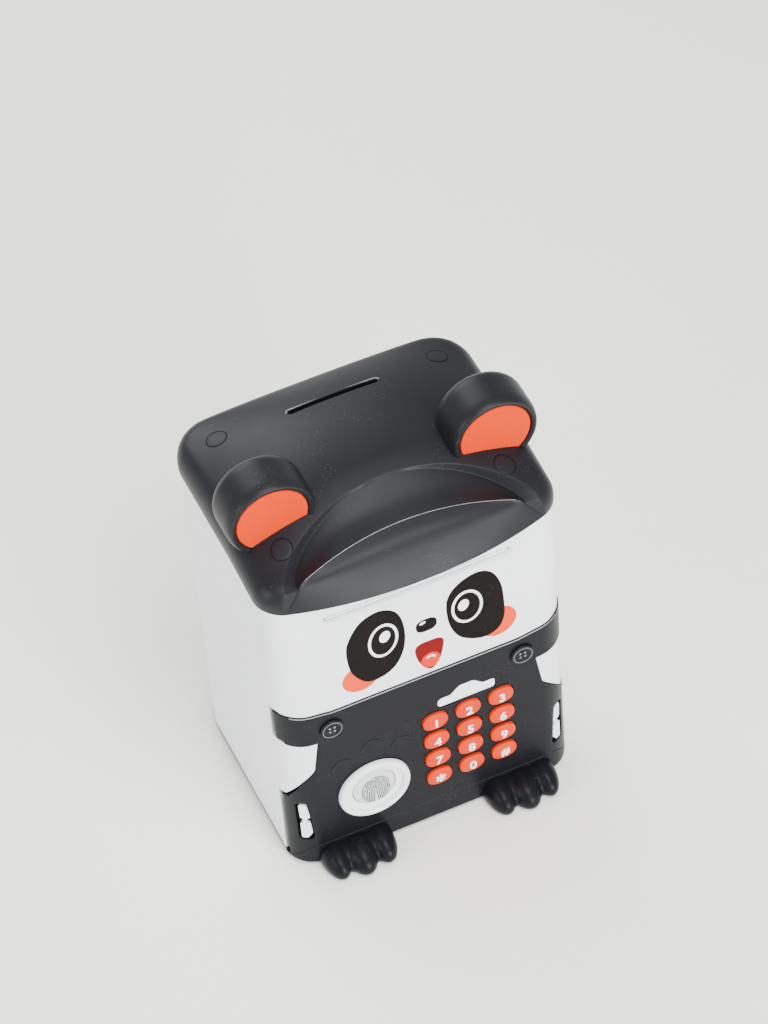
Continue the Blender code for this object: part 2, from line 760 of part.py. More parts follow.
def build_lid():
    bm = bmesh.new()
    outer = lid_surface(bm, lid_outer_place)
    inner = lid_surface(bm, lid_inner_place)
    count = len(outer)
    for i in range(count):
        bm.faces.new((outer[i], outer[(i + 1) % count], inner[(i + 1) % count], inner[i]))
    lid = add("top_lid", bm, CHARCOAL)
    for x, y in well_places():
        boolean(lid, tower(x, y, TOWER_RADIUS, TOWER_TOP_RISE + GAP), "UNION")
    for x, y in well_places():
        seat = rise(lid_rise(x, y) - WELL_DEPTH)
        well = rod("Z", x, plan(y), PLUG_RADIUS + GAP, seat, seat + 20.0, 16)
        boolean(lid, well)
        boolean(lid, rod("Z", x, plan(y), 1.8, rise(TOWER_TOP_RISE - 5.0), seat + 1.0, 10))
    boolean(lid, prism(stadium(0.0, plan(COIN_SLOT_Y), (COIN_SLOT_WIDTH - COIN_SLOT_BREADTH) / 2,
                               COIN_SLOT_BREADTH / 2), "Z", rise(150.0), rise(220.0)))
    return lid


# ---------------------------------------------------------------- body and base


def build_body():
    """White shell: four walls, screw towers, the two corner posts between strap and pocket, and the slots."""
    outer, inner = body_outline(0.0), body_outline(WALL)
    low = rise(FLANGE + GAP)
    rings = [
        [(x, y, low) for x, y in outer],
        [(x, y, rise(rim_rise(y) - 2 * GAP)) for x, y in outer],
        [(ix, iy, rise(rim_rise(y) - 2 * GAP)) for (ix, iy), (x, y) in zip(inner, outer)],
        [(x, y, low) for x, y in inner],
    ]
    shell = add("body_shell", tube(rings), WHITE)
    cut_front_opening(shell)
    post = (POCKET_END_RISE + 5.0, STRAP_LOW_RISE - 1.0)
    crown = (STRAP_END_RISE + 1.0, STRAP_END_RISE + 6.0)
    for low_end, high_end in (post, crown):
        boss = rod("Z", HINGE_X, HINGE_Y, HINGE_BOSS, rise(low_end), rise(high_end), 12)
        boolean(shell, boss, "UNION")
    boolean(shell, rod("Z", HINGE_X, HINGE_Y, PIN_RADIUS + GAP, rise(-5.0), rise(crown[1] - 1.0), 10))
    upper = [(x, y, TOWER_TOP_RISE - TOWER_LENGTH, TOWER_TOP_RISE) for x, y in well_places()]
    lower = [(x, y, TRAY_THICK + GAP, 14.0) for x, y in base_screw_places()]
    for x, y, bottom, top in upper + lower:
        reach = HALF_WIDTH - 1.0 - BODY_TOWER_RADIUS - abs(x)
        centre = math.copysign(abs(x) + reach / 2, x)
        plan_outline = stadium(centre, plan(y), reach / 2, BODY_TOWER_RADIUS, 5)
        boolean(shell, prism(plan_outline, "Z", rise(bottom), rise(top)), "UNION")
    for x, y, bottom, top in upper + lower:
        bore = rod("Z", x, plan(y), SCREW_RADIUS + GAP, rise(bottom - 1.0), rise(top + 1.0), 8)
        boolean(shell, bore)
    slot = stadium(0.0, rise(NOTE_SLOT_RISE), NOTE_SLOT_WIDTH / 2 - 1.1, NOTE_SLOT_HEIGHT / 2, 4)
    boolean(shell, prism(slot, "Y", FRONT_Y - 1.0, INNER_FRONT_Y + 1.0))
    turns = [math.pi * i / 3 for i in range(6)]
    holes = [(0.0, 0.0)]
    holes += [(SPEAKER_HOLE_PITCH * math.cos(turn), SPEAKER_HOLE_PITCH * math.sin(turn)) for turn in turns]
    for a, b in holes:
        boolean(shell, rod("Y", a, rise(SPEAKER_RISE) + b, SPEAKER_HOLE, INNER_BACK_Y - 1.0, BACK_Y + 1.0, 8))
    room = COVER_HALF + COVER_TONGUE + 2 * GAP
    boolean(shell, block((-room, room), (INNER_BACK_Y - 1.0, BACK_Y + 1.0), (rise(-1.0), rise(COVER_THICK + GAP))))
    return shell


def base_screw_places():
    return [(side * BASE_SCREW[0], BASE_SCREW[1]) for side in (-1, 1)]


def build_base():
    """Dark tray under the body, with the plinth that shows below the door."""
    step = WALL + GAP
    rings = [
        [(x, y, rise(0.0)) for x, y in body_outline(0.0)],
        [(x, y, rise(FLANGE)) for x, y in body_outline(0.0)],
        [(x, y, rise(FLANGE)) for x, y in body_outline(step)],
        [(x, y, rise(TRAY_THICK)) for x, y in body_outline(step)],
    ]
    tray = add("base_tray", loft(rings), CHARCOAL)
    boolean(tray, prism(cover_section(GAP), "Y", plan(COVER_FRONT_Y) - GAP, BACK_Y + 5.0))
    hatch = COVER_HALF - 1.2
    cells = CELL_PITCH * CELL_COUNT / 2
    boolean(tray, block((-hatch, hatch), (plan(BATTERY_Y - cells), plan(BATTERY_Y + cells)),
                        (rise(0.5), rise(TRAY_THICK + 2.0))))
    for x, y in base_screw_places():
        boolean(tray, rod("Z", x, plan(y), SCREW_RADIUS + GAP, rise(-2.0), rise(TRAY_THICK + 1.0), 10))
        boolean(tray, rod("Z", x, plan(y), 3.3, rise(-2.0), rise(1.2), 12))
    boolean(tray, wrapped(plinth_outline(), -PLINTH_PROUD, PLINTH_SKIN, 5), "UNION")
    return tray


def cover_section(grow=0.0):
    """Section across the battery cover, a plate with a tongue along each side, or across its slideway."""
    half, wide = COVER_HALF + grow, COVER_HALF + COVER_TONGUE + grow
    low = rise(-3.0 if grow else 0.0)
    step, top = rise(1.0 - grow), rise(COVER_THICK + grow)
    right = [(half, low), (half, step), (wide, step), (wide, top)]
    return right + [(-x, z) for x, z in reversed(right)]


def build_battery_parts():
    cover_axis = axis_empty("battery_cover_axis", (0.0, plan(COVER_FRONT_Y), rise(0.0)))
    front = plan(COVER_FRONT_Y)
    plate = prism(cover_section(), "Y", front, BACK_Y)
    add("battery_cover", plate, CHARCOAL, (0.0, front, rise(0.0)), cover_axis, smooth=False)
    half_x = CELL_LENGTH / 2 + CONTACT_ROOM
    half_y = CELL_PITCH * CELL_COUNT / 2
    top = CELL_SEAT + 2 * CELL_RADIUS + GAP
    wall = BATTERY_WALL
    outer = block((-half_x - wall, half_x + wall), (plan(BATTERY_Y - half_y - wall), plan(BATTERY_Y + half_y + wall)),
                  (rise(TRAY_THICK + GAP), rise(top + wall)))
    box = add("battery_box", outer, DARK_GREY, smooth=False)
    boolean(box, block((-half_x, half_x), (plan(BATTERY_Y - half_y), plan(BATTERY_Y + half_y)),
                       (rise(0.0), rise(top))))
    places = [BATTERY_Y + CELL_PITCH * (i - (CELL_COUNT - 1) / 2) for i in range(CELL_COUNT)]
    middle = rise(CELL_SEAT + CELL_RADIUS)
    for i, y in enumerate(places):
        end = CELL_LENGTH / 2 * (-1) ** i
        profile = [(CELL_RADIUS, -end), (CELL_RADIUS, end * 0.94), (2.6, end * 0.94), (2.6, end)]
        cell = turned("X", plan(y), middle, profile, 16)
        add(f"battery_{i + 1}", cell, ORANGE, (0.0, plan(y), middle))


def build_feet():
    floor = block((-90.0, 90.0), (-90.0, 90.0), (-30.0, 0.0))
    floor_cutter = helper("floor_cutter", floor)
    clear = block((-90.0, 90.0), (FRONT_Y - PLINTH_PROUD - GAP, 90.0), (rise(-PLINTH_DROP - GAP), 60.0))
    clear_cutter = helper("plinth_clearance", clear)
    for side, name in ((-1, "foot_left"), (1, "foot_right")):
        toes = []
        for dx, radius, reach in zip(TOE_XS, TOE_RADII, TOE_REACHES):
            ball = bmesh.new()
            bmesh.ops.create_uvsphere(ball, u_segments=14, v_segments=8, radius=1.0)
            length = 13.0
            for vert in ball.verts:
                vert.co = Vector((
                    side * (FOOT_X + dx) + vert.co.x * radius,
                    FRONT_Y - reach + length + vert.co.y * length,
                    rise(TOE_TOP_RISE - 7.4) + vert.co.z * 7.4,
                ))
            toes.append(ball)
        foot = add(name, toes[1], CHARCOAL)
        boolean(foot, toes[0], "UNION")
        boolean(foot, toes[2], "UNION")
        edges = sorted((side * (FOOT_X - 12.0), side * (FOOT_X + 12.0)))
        sole = block(edges, (FRONT_Y - 4.0, FRONT_Y + 18.0), (0.0 - 1.0, rise(-PLINTH_DROP - GAP) - 0.2))
        boolean(foot, sole, "UNION")
        boolean(foot, floor_cutter)
        boolean(foot, clear_cutter)
    for x, name in ((-REAR_PAD_X, "left"), (REAR_PAD_X, "right")):
        pad = rod("Z", x, REAR_PAD_Y, REAR_PAD_RADIUS, 0.0, rise(-GAP))
        add(f"rear_pad_{name}", pad, RUBBER, (x, REAR_PAD_Y, 0.0))
    profile = [(2.9, rise(0.1)), (2.9, rise(0.9)), (SCREW_RADIUS, rise(0.9)), (SCREW_RADIUS, rise(12.0))]
    for (x, y), name in zip(base_screw_places(), ("left", "right")):
        screw = turned("Z", x, plan(y), profile, 10)
        add(f"base_screw_{name}", screw, STEEL, (x, plan(y), rise(0.0)))


# ---------------------------------------------------------------- lid fittings


def build_lid_screws():
    """Screws whose moulded heads lie flush with the dome."""
    names = ("front_left", "front_right", "back_left", "back_right")
    for (x, y), name in zip(well_places(), names):
        seat = rise(lid_rise(x, y) - WELL_DEPTH)
        head = circle(x, y, PLUG_RADIUS, 16)
        shank = circle(x, y, SCREW_RADIUS, 16)
        rings = [
            [(a, plan(b), rise(TOWER_TOP_RISE - 12.0)) for a, b in shank],
            [(a, plan(b), seat + GAP) for a, b in shank],
            [(a, plan(b), seat + GAP) for a, b in head],
            [(a, plan(b), rise(lid_rise(a, b))) for a, b in head],
        ]
        screw = domed(rings, (x, plan(y), rise(lid_rise(x, y))))
        add(f"lid_screw_{name}", screw, CHARCOAL, (x, plan(y), seat))


def build_ears():
    cutter = helper("ear_trim", lid_cutter())
    front, back = plan(EAR_FRONT_Y), plan(EAR_BACK_Y)
    seat = INSET_RADIUS + GAP
    rim = EAR_RADIUS - seat
    for side, name in ((-1, "left"), (1, "right")):
        profile = [
            (seat, front + INSET_SINK),
            (seat, front + 0.6),
            (seat + 0.3 * rim, front),
            (seat + 0.75 * rim, front + 1.2),
            (EAR_RADIUS, front + 4.4),
            (EAR_RADIUS, back - EAR_ROUND),
            (EAR_RADIUS - 0.10 * EAR_ROUND, back - 0.55 * EAR_ROUND),
            (EAR_RADIUS - 0.40 * EAR_ROUND, back - 0.20 * EAR_ROUND),
            (EAR_RADIUS - 0.95 * EAR_ROUND, back),
        ]
        ear = add(f"ear_{name}", turned("Y", side * EAR_X, rise(EAR_RISE), profile, 28), CHARCOAL)
        boolean(ear, cutter)
        face = front + INSET_SINK - GAP - INSET_THICK
        disc = rod("Y", side * EAR_X, rise(EAR_RISE), INSET_RADIUS, face, face + INSET_THICK, 28)
        boolean(add(f"ear_inset_{name}", disc, ORANGE), cutter)


def build_coin_chute():
    half = COIN_SLOT_WIDTH / 2 + 2.0
    y0, y1 = plan(COIN_SLOT_Y) - 4.0, plan(COIN_SLOT_Y) + 4.0
    chute = add("coin_chute", block((-half, half), (y0, y1), (rise(118.0), rise(176.0))), DARK_GREY, smooth=False)
    inner = half - 1.2
    boolean(chute, block((-inner, inner), (y0 + 1.2, y1 - 1.2), (rise(110.0), rise(190.0))))


# ---------------------------------------------------------------- door


def depth(value):
    """World y of a place this far inside the front plane."""
    return FRONT_Y + value


def key_places():
    names = ("1", "2", "3", "4", "5", "6", "7", "8", "9", "star", "0", "hash")
    for i, name in enumerate(names):
        x = KEYPAD_X + KEY_PITCH_X * (i % 3 - 1)
        z = KEYPAD_RISE + KEY_PITCH_Z * (1.5 - i // 3)
        yield name, x, z


def lens_outline(grow=0.0):
    hump = LENS_HALF * 0.55
    corners = [
        (LENS_X - LENS_HALF, LENS_LOW, 1.6),
        (LENS_X + LENS_HALF, LENS_LOW, 1.6),
        (LENS_X + LENS_HALF, LENS_HIGH, 2.2),
        (LENS_X + hump, LENS_HIGH, 2.0),
        (LENS_X + hump * 0.45, LENS_HIGH + LENS_HUMP, 3.0),
        (LENS_X - hump * 0.45, LENS_HIGH + LENS_HUMP, 3.0),
        (LENS_X - hump, LENS_HIGH, 2.0),
        (LENS_X - LENS_HALF, LENS_HIGH, 2.2),
    ]
    return offset(rounded(corners, 3), grow)


def clasp_outline(side, grow=0.0):
    low, high = CLASP_LOW, CLASP_HIGH
    half = CLASP_WIDTH / 2
    corners = [
        (CLASP_ALONG - half, low, 1.6),
        (CLASP_ALONG + half, low, 1.6),
        (CLASP_ALONG + half + 0.4, high, 1.8),
        (CLASP_ALONG - half + 1.6, high, 1.8),
    ]
    outline = rounded(corners, 3)
    if side < 0:
        outline = [(-a, b) for a, b in reversed(outline)]
    return offset(outline, grow)


def post_sweep():
    """The space that the fixed corner post fills, as seen from the turning door."""
    outline = offset(door_outline(), GAP)
    low, high = POCKET_END_RISE + 0.1, STRAP_LOW_RISE + 3.2
    profile = [(POST_EDGE_REACH, rise(low))]
    for height, along in sorted((b, a) for a, b in outline if -WRAP_END < a < 0 and low + 0.1 < b < high - 0.1):
        x, y, _ = wrap(along, 0.0, height)
        reach = math.hypot(x - HINGE_X, y - HINGE_Y) + GAP / 2
        profile.append((max(reach, POST_EDGE_REACH), rise(height)))
    profile.append((POST_EDGE_REACH, rise(high)))
    return turned("Z", HINGE_X, HINGE_Y, profile, 24)


def build_door():
    hinge = axis_empty("door_hinge_axis", (HINGE_X, HINGE_Y, rise(0.0)))
    origin = (HINGE_X, HINGE_Y, rise(0.0))
    inner = DOOR_SKIN - DOOR_PROUD
    panel = add("door_panel", wrapped(door_outline(HINGE_END), -DOOR_PROUD, inner), CHARCOAL, origin, hinge)
    front, back = depth(-4.0), depth(6.0)
    for side in (-1, 1):
        boolean(panel, wrapped(clasp_outline(side, GAP), -2.0, 4.0, 5))
        boolean(panel, rod("Y", side * BUTTON_X, rise(BUTTON_RISE), 2.8, front, back, 10))
    width, height = KEY_WIDTH + 2 * RUNNING_GAP, KEY_HEIGHT + 2 * RUNNING_GAP
    for _, x, z in key_places():
        boolean(panel, prism(oval(x, rise(z), width, height, 16), "Y", front, back))
    boolean(panel, rod("Y", PAD_X, rise(PAD_RISE), RING_STEM + GAP, front, back, 28))
    lens = [(a, rise(b)) for a, b in lens_outline(GAP)]
    boolean(panel, prism(lens, "Y", front, back))
    for low, high in barrel_spans():
        boolean(panel, rod("Z", HINGE_X, HINGE_Y, BARREL_RADIUS, rise(low), rise(high)), "UNION")
    boolean(panel, rod("Z", HINGE_X, HINGE_Y, PIN_RADIUS + GAP, rise(-5.0), rise(STRAP_END_RISE + 5.0), 10))
    boolean(panel, post_sweep())

    top = STRAP_END_RISE + 4.5
    add("door_hinge_pin", rod("Z", HINGE_X, HINGE_Y, PIN_RADIUS, rise(TRAY_THICK + GAP), rise(top), 10), STEEL)

    half, far = BACK_COVER_HALF, BACK_COVER_DEPTH
    box = block((-half, half), (depth(inner + GAP), depth(far)), (rise(BACK_COVER_LOW), rise(BACK_COVER_HIGH)))
    cover = add("door_back_cover", box, DARK_GREY, origin, hinge, smooth=False)
    thin = half - COVER_WALL
    boolean(cover, block((-thin, thin), (depth(0.0), depth(far - COVER_WALL)),
                         (rise(BACK_COVER_LOW + COVER_WALL), rise(BACK_COVER_HIGH - COVER_WALL))))
    corners = [(x, z) for x in (4.0 - thin, thin - 4.0) for z in (BACK_COVER_LOW + 6.0, BACK_COVER_HIGH - 6.0)]
    for x, z in corners:
        boolean(cover, rod("Y", x, rise(z), SCREW_RADIUS + GAP, depth(far - 4.0), depth(far + 2.0), 8))

    for side in (-1, 1):
        front_face = depth(-DOOR_PROUD - GAP)
        profile = [(BUTTON_RADIUS - 0.5, front_face - 1.0), (BUTTON_RADIUS, front_face - 0.5),
                   (BUTTON_RADIUS, front_face), (2.5, front_face), (2.5, depth(3.0))]
        name = "left" if side < 0 else "right"
        button = turned("Y", side * BUTTON_X, rise(BUTTON_RISE), profile)
        add(f"strap_button_{name}", button, CHARCOAL, origin, hinge)
        clasp = wrapped(clasp_outline(side), 0.2, 2.6)
        add(f"clasp_{name}", clasp, WHITE, origin, hinge)
    lens = [(a, rise(b)) for a, b in lens_outline()]
    add("indicator_lens", prism(lens, "Y", depth(LENS_SINK), depth(LENS_BACK)), WHITE, origin, hinge)
    return hinge


def build_keys(hinge):
    for name, x, z in key_places():
        centre = (x, depth(0.0), rise(z))
        rings = []
        for shrink, level in ((1.2, -KEY_PROUD), (0.0, 0.9 - KEY_PROUD),
                              (0.0, 2.3), (-2 * KEY_LIP, 2.3), (-2 * KEY_LIP, KEY_BACK)):
            outline = oval(x, rise(z), KEY_WIDTH - shrink, KEY_HEIGHT - shrink, 16)
            rings.append([(a, depth(level), b) for a, b in outline])
        add(f"key_{name}", loft(rings), ORANGE, centre, hinge)
    half = BACK_COVER_HALF - COVER_WALL - GAP - 0.5
    low, high = BACK_COVER_LOW + COVER_WALL + 1.0, BACK_COVER_HIGH - COVER_WALL - 1.0
    origin = (HINGE_X, HINGE_Y, rise(0.0))
    mat = block((-half, half), [depth(d) for d in MAT_DEPTHS], (rise(low), rise(high)))
    add("key_mat", mat, RUBBER, origin, hinge, smooth=False)
    board = block((-half, half), [depth(d) for d in BOARD_DEPTHS], (rise(low), rise(high)))
    add("keypad_board", board, BOARD_GREEN, origin, hinge, smooth=False)


def build_pad(hinge):
    origin = (HINGE_X, HINGE_Y, rise(0.0))
    face = depth(-DOOR_PROUD - GAP)
    front = depth(-RING_PROUD)
    bore = PAD_RADIUS + RUNNING_GAP
    profile = [
        (bore, depth(1.2)),
        (bore, depth(-1.0)),
        (RING_RADIUS - 3.4, front + 0.8),
        (RING_RADIUS - 2.4, front),
        (RING_RADIUS - 0.8, front + 0.3),
        (RING_RADIUS, front + 1.2),
        (RING_RADIUS, face),
        (RING_STEM, face),
        (RING_STEM, depth(3.2)),
        (RING_STEM - 1.2, depth(3.2)),
        (RING_STEM - 1.2, depth(1.2)),
    ]
    add("pad_ring", turned_ring("Y", PAD_X, rise(PAD_RISE), profile, 28), WHITE, origin, hinge)
    profile = [
        (PAD_RADIUS - 0.6, depth(PAD_FRONT)),
        (PAD_RADIUS, depth(PAD_FRONT + 0.5)),
        (PAD_RADIUS, depth(1.6)),
        (5.0, depth(1.6)),
        (5.0, depth(PAD_BACK)),
    ]
    centre = (PAD_X, depth(0.0), rise(PAD_RISE))
    add("fingerprint_pad", turned("Y", PAD_X, rise(PAD_RISE), profile, 28), LIGHT_GREY, centre, hinge)


def build_lock(hinge):
    origin = (HINGE_X, HINGE_Y, rise(0.0))
    y0, y1 = depth(LOCK_DEPTH - LOCK_HALF), depth(LOCK_DEPTH + LOCK_HALF)
    z0, z1 = rise(LOCK_RISE - LOCK_HALF), rise(LOCK_RISE + LOCK_HALF)
    near = LOCK_FAR_X - 26.0
    housing = add("lock_housing", block((near, LOCK_FAR_X), (y0, y1), (z0, z1)), DARK_GREY, origin, hinge, smooth=False)
    bore = BOLT_HALF + RUNNING_GAP
    y, z = depth(LOCK_DEPTH), rise(LOCK_RISE)
    boolean(housing, block((near + 4.0, LOCK_FAR_X + 1.0), (y - bore, y + bore), (z - bore, z + bore)))
    start = (near + 5.0, y, z)
    bolt = block((start[0], LOCK_FAR_X - GAP), (y - BOLT_HALF, y + BOLT_HALF), (z - BOLT_HALF, z + BOLT_HALF))
    add("lock_bolt", bolt, STEEL, start, hinge, smooth=False)
    keeper_box = block((KEEPER_X, INNER_X - GAP), (y0, y1), (z0, z1))
    keeper = add("latch_keeper", keeper_box, STEEL, smooth=False)
    room = BOLT_HALF + 2 * RUNNING_GAP
    boolean(keeper, block((KEEPER_X - 1.0, INNER_X - 2.0), (y - room, y + room), (z - room, z + room)))


# ---------------------------------------------------------------- note feeder and electronics


def gear_outline(a, b, teeth, phase=0.0):
    """A plain spur gear with straight-sided teeth, a little thin so that a pair runs free."""
    pitch = GEAR_MODULE * teeth / 2
    root, tip = pitch - 0.75 * GEAR_MODULE * 1.25, pitch + 0.8 * GEAR_MODULE
    outline = []
    for tooth in range(teeth):
        centre = 2 * math.pi * tooth / teeth + phase
        share = math.pi / teeth
        for radius, angle in ((root, -0.62), (tip, -0.26), (tip, 0.26), (root, 0.62)):
            turn = centre + share * angle
            outline.append((a + radius * math.cos(turn), b + radius * math.sin(turn)))
    return outline


def build_feeder():
    back = plan(FEEDER_BACK_Y)
    front = INNER_FRONT_Y + FEEDER_FRONT_GAP
    half, wall = FEEDER_HALF, FEEDER_WALL
    box = block((-half, half), (front, back), (rise(FEEDER_LOW), rise(FEEDER_HIGH)))
    frame = add("feeder_frame", box, DARK_GREY, smooth=False)
    boolean(frame, block((wall - half, half - wall), (front - 1.0, back - wall),
                         (rise(FEEDER_LOW - 1.0), rise(FEEDER_HIGH - wall))))
    y = plan(ROLLER_Y)
    drive_z = rise(NOTE_SLOT_RISE - NIP - ROLLER_RADIUS)
    idler_z = rise(NOTE_SLOT_RISE + NIP + IDLER_RADIUS)
    for z in (drive_z, idler_z):
        boolean(frame, rod("X", y, z, SHAFT_RADIUS + RUNNING_GAP, -half - 1.0, half + 1.0, 12))
    drive = axis_empty("drive_roller_axis", (0.0, y, drive_z))
    idler = axis_empty("idler_roller_axis", (0.0, y, idler_z))
    shaft_end = half + GAP + GEAR_THICK + 0.3
    for name, empty, z, radius, end in (
        ("drive", drive, drive_z, ROLLER_RADIUS, shaft_end),
        ("idler", idler, idler_z, IDLER_RADIUS, half + 1.0),
    ):
        centre = (0.0, y, z)
        add(f"{name}_shaft", rod("X", y, z, SHAFT_RADIUS, -half - 1.0, end, 12), STEEL, centre, empty)
        bore = SHAFT_RADIUS + GAP
        far = ROLLER_PITCH + ROLLER_LENGTH / 2
        profile = [(bore, far), (bore, -far)]
        for step in (-1, 0, 1):
            low, high = step * ROLLER_PITCH - ROLLER_LENGTH / 2, step * ROLLER_PITCH + ROLLER_LENGTH / 2
            profile += [(bore + 0.9, low)] if step > -1 else []
            profile += [(radius, low), (radius, high)]
            profile += [(bore + 0.9, high)] if step < 1 else []
        add(f"{name}_roller", turned_ring("X", y, z, profile, 14), RUBBER, centre, empty)
    low, high = half + GAP, half + GAP + GEAR_THICK
    gear = prism(gear_outline(y, drive_z, GEAR_TEETH), "X", low, high)
    gear = add("drive_gear", gear, GEAR_WHITE, (0.0, y, drive_z), drive, smooth=False)
    boolean(gear, rod("X", y, drive_z, SHAFT_RADIUS + GAP, low - 1.0, high + 1.0, 12))
    reach = GEAR_MODULE * (GEAR_TEETH + PINION_TEETH) / 2 + GEAR_SLACK
    py, pz = y + reach * math.cos(MOTOR_ANGLE), drive_z - reach * math.sin(MOTOR_ANGLE)
    facing = math.pi - MOTOR_ANGLE
    phase = pinion_phase(facing)
    pinion_axis = axis_empty("motor_pinion_axis", (0.0, py, pz))
    pinion = prism(gear_outline(py, pz, PINION_TEETH, phase), "X", low, high)
    add("motor_pinion", pinion, BRASS, (0.0, py, pz), pinion_axis, smooth=False)
    start = high + GAP
    profile = [(2.0, start), (2.0, start + 0.8), (MOTOR_RADIUS, start + 0.8), (MOTOR_RADIUS, start + MOTOR_LENGTH)]
    add("feed_motor", turned("X", py, pz, profile), STEEL)


def pinion_phase(facing):
    """Turn of the pinion that puts one of its gaps against the gear's tooth on the line of centres."""
    gear_line = facing - math.pi
    tooth = 2 * math.pi / GEAR_TEETH
    offset_turn = gear_line - round(gear_line / tooth) * tooth
    return facing + math.pi / PINION_TEETH + offset_turn * GEAR_TEETH / PINION_TEETH


def build_electronics():
    back = INNER_BACK_Y - GAP
    board = block((-30.0, 30.0), (back - 5.0, back - 3.4), (rise(104.0), rise(138.0)))
    add("main_board", board, BOARD_GREEN, smooth=False)
    profile = [(SPEAKER_RADIUS, back), (SPEAKER_RADIUS, back - 2.0), (SPEAKER_RADIUS - 6.0, back - 6.0),
               (SPEAKER_RADIUS - 6.0, back - 9.0)]
    add("speaker", turned("Y", 0.0, rise(SPEAKER_RISE), profile, 24), STEEL)


def main():
    clear_scene()
    build_body()
    build_base()
    build_battery_parts()
    build_feet()
    build_lid()
    build_lid_screws()
    build_ears()
    build_coin_chute()
    hinge = build_door()
    build_keys(hinge)
    build_pad(hinge)
    build_lock(hinge)
    build_feeder()
    build_electronics()


main()
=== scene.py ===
"""Panda savings bank: the finished look of each piece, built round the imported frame.

Sizes are in millimetres and are turned to metres when a mesh is stored. +Z is up and the face looks along
-Y. A rise is a height above the body's underside, and a place on the front skin is (along, rise), where
along runs round the corner with the skin.
"""

import logging
import math
from collections.abc import Callable, Iterable, Sequence
from dataclasses import dataclass, field
from enum import Enum

import bmesh
import bpy
from mathutils import Matrix, Vector


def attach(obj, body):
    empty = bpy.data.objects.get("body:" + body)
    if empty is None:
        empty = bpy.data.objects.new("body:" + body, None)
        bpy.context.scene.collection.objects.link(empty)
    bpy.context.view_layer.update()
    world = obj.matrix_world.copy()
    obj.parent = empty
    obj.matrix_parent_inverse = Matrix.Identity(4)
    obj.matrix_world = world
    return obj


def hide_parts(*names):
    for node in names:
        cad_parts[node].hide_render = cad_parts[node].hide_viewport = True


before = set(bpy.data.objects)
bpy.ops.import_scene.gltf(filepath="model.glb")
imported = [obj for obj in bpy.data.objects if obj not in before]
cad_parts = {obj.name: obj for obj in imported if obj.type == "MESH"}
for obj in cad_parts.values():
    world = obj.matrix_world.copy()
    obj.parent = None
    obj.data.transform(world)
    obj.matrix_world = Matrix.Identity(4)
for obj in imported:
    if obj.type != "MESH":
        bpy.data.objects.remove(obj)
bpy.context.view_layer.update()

MM = 0.001
GAP = 0.3
SMOOTH_ANGLE = math.radians(32.0)
WELD_DISTANCE = 0.0004
COAT_ROUGHNESS = 0.12
DUST_TONE = (0.7, 0.69, 0.66)
DUST_SHARE = 0.12
ROUGHNESS_SPREAD = 0.22
WORN_ROUGHNESS = 0.12
GRAIN_STRENGTH = 0.35
Point = tuple[float, float]
Place = tuple[float, float, float]
Outline = list[Point]
Ring = Sequence[Sequence[float]]
Vertices = Sequence[bmesh.types.BMVert]

logging.basicConfig(level=logging.INFO, format="%(message)s")
log = logging.getLogger("bank")


class Side(Enum):
    """Which side of the bank a piece sits on, as the sign of its x."""

    LEFT = -1
    RIGHT = 1

    @property
    def word(self) -> str:
        """The side's name as it is used in a piece's name."""
        return self.name.lower()


# ---------------------------------------------------------------- shader groups and finishes


def new_group(name: str, inputs: dict[str, float], outputs: dict[str, str]) -> bpy.types.NodeTree:
    """Start a shader node group with named float inputs and named outputs.

    Args:
        name: the group's name.
        inputs: each input's name and its default.
        outputs: each output's name and its socket type.

    Returns:
        The empty group.
    """
    tree = bpy.data.node_groups.new(name, "ShaderNodeTree")
    for label, default in inputs.items():
        socket = tree.interface.new_socket(label, in_out="INPUT", socket_type="NodeSocketFloat")
        socket.default_value = default
    for label, kind in outputs.items():
        tree.interface.new_socket(label, in_out="OUTPUT", socket_type=kind)
    return tree


def math_node(tree: bpy.types.NodeTree, operation: str, *values: object,
              clamp: bool = False) -> bpy.types.NodeSocket:
    """Add a Math node whose inputs are numbers or sockets.

    Args:
        tree: the tree to add to.
        operation: the Math node's operation.
        values: a number or a socket for each input.
        clamp: keep the result between 0 and 1.

    Returns:
        The node's output.
    """
    node = tree.nodes.new("ShaderNodeMath")
    node.operation = operation
    node.use_clamp = clamp
    for socket, value in zip(node.inputs, values):
        if isinstance(value, (int, float)):
            socket.default_value = value
        else:
            tree.links.new(value, socket)
    return node.outputs[0]


def noise_node(tree: bpy.types.NodeTree, place: bpy.types.NodeSocket, scale: object,
               detail: float) -> bpy.types.NodeSocket:
    """Add a Noise Texture and give back its factor.

    Args:
        tree: the tree to add to.
        place: where the pattern is read.
        scale: a number or a socket.
        detail: how many octaves it has.

    Returns:
        The factor output.
    """
    node = tree.nodes.new("ShaderNodeTexNoise")
    node.inputs["Detail"].default_value = detail
    tree.links.new(place, node.inputs["Vector"])
    if isinstance(scale, (int, float)):
        node.inputs["Scale"].default_value = scale
    else:
        tree.links.new(scale, node.inputs["Scale"])
    return node.outputs["Fac"]


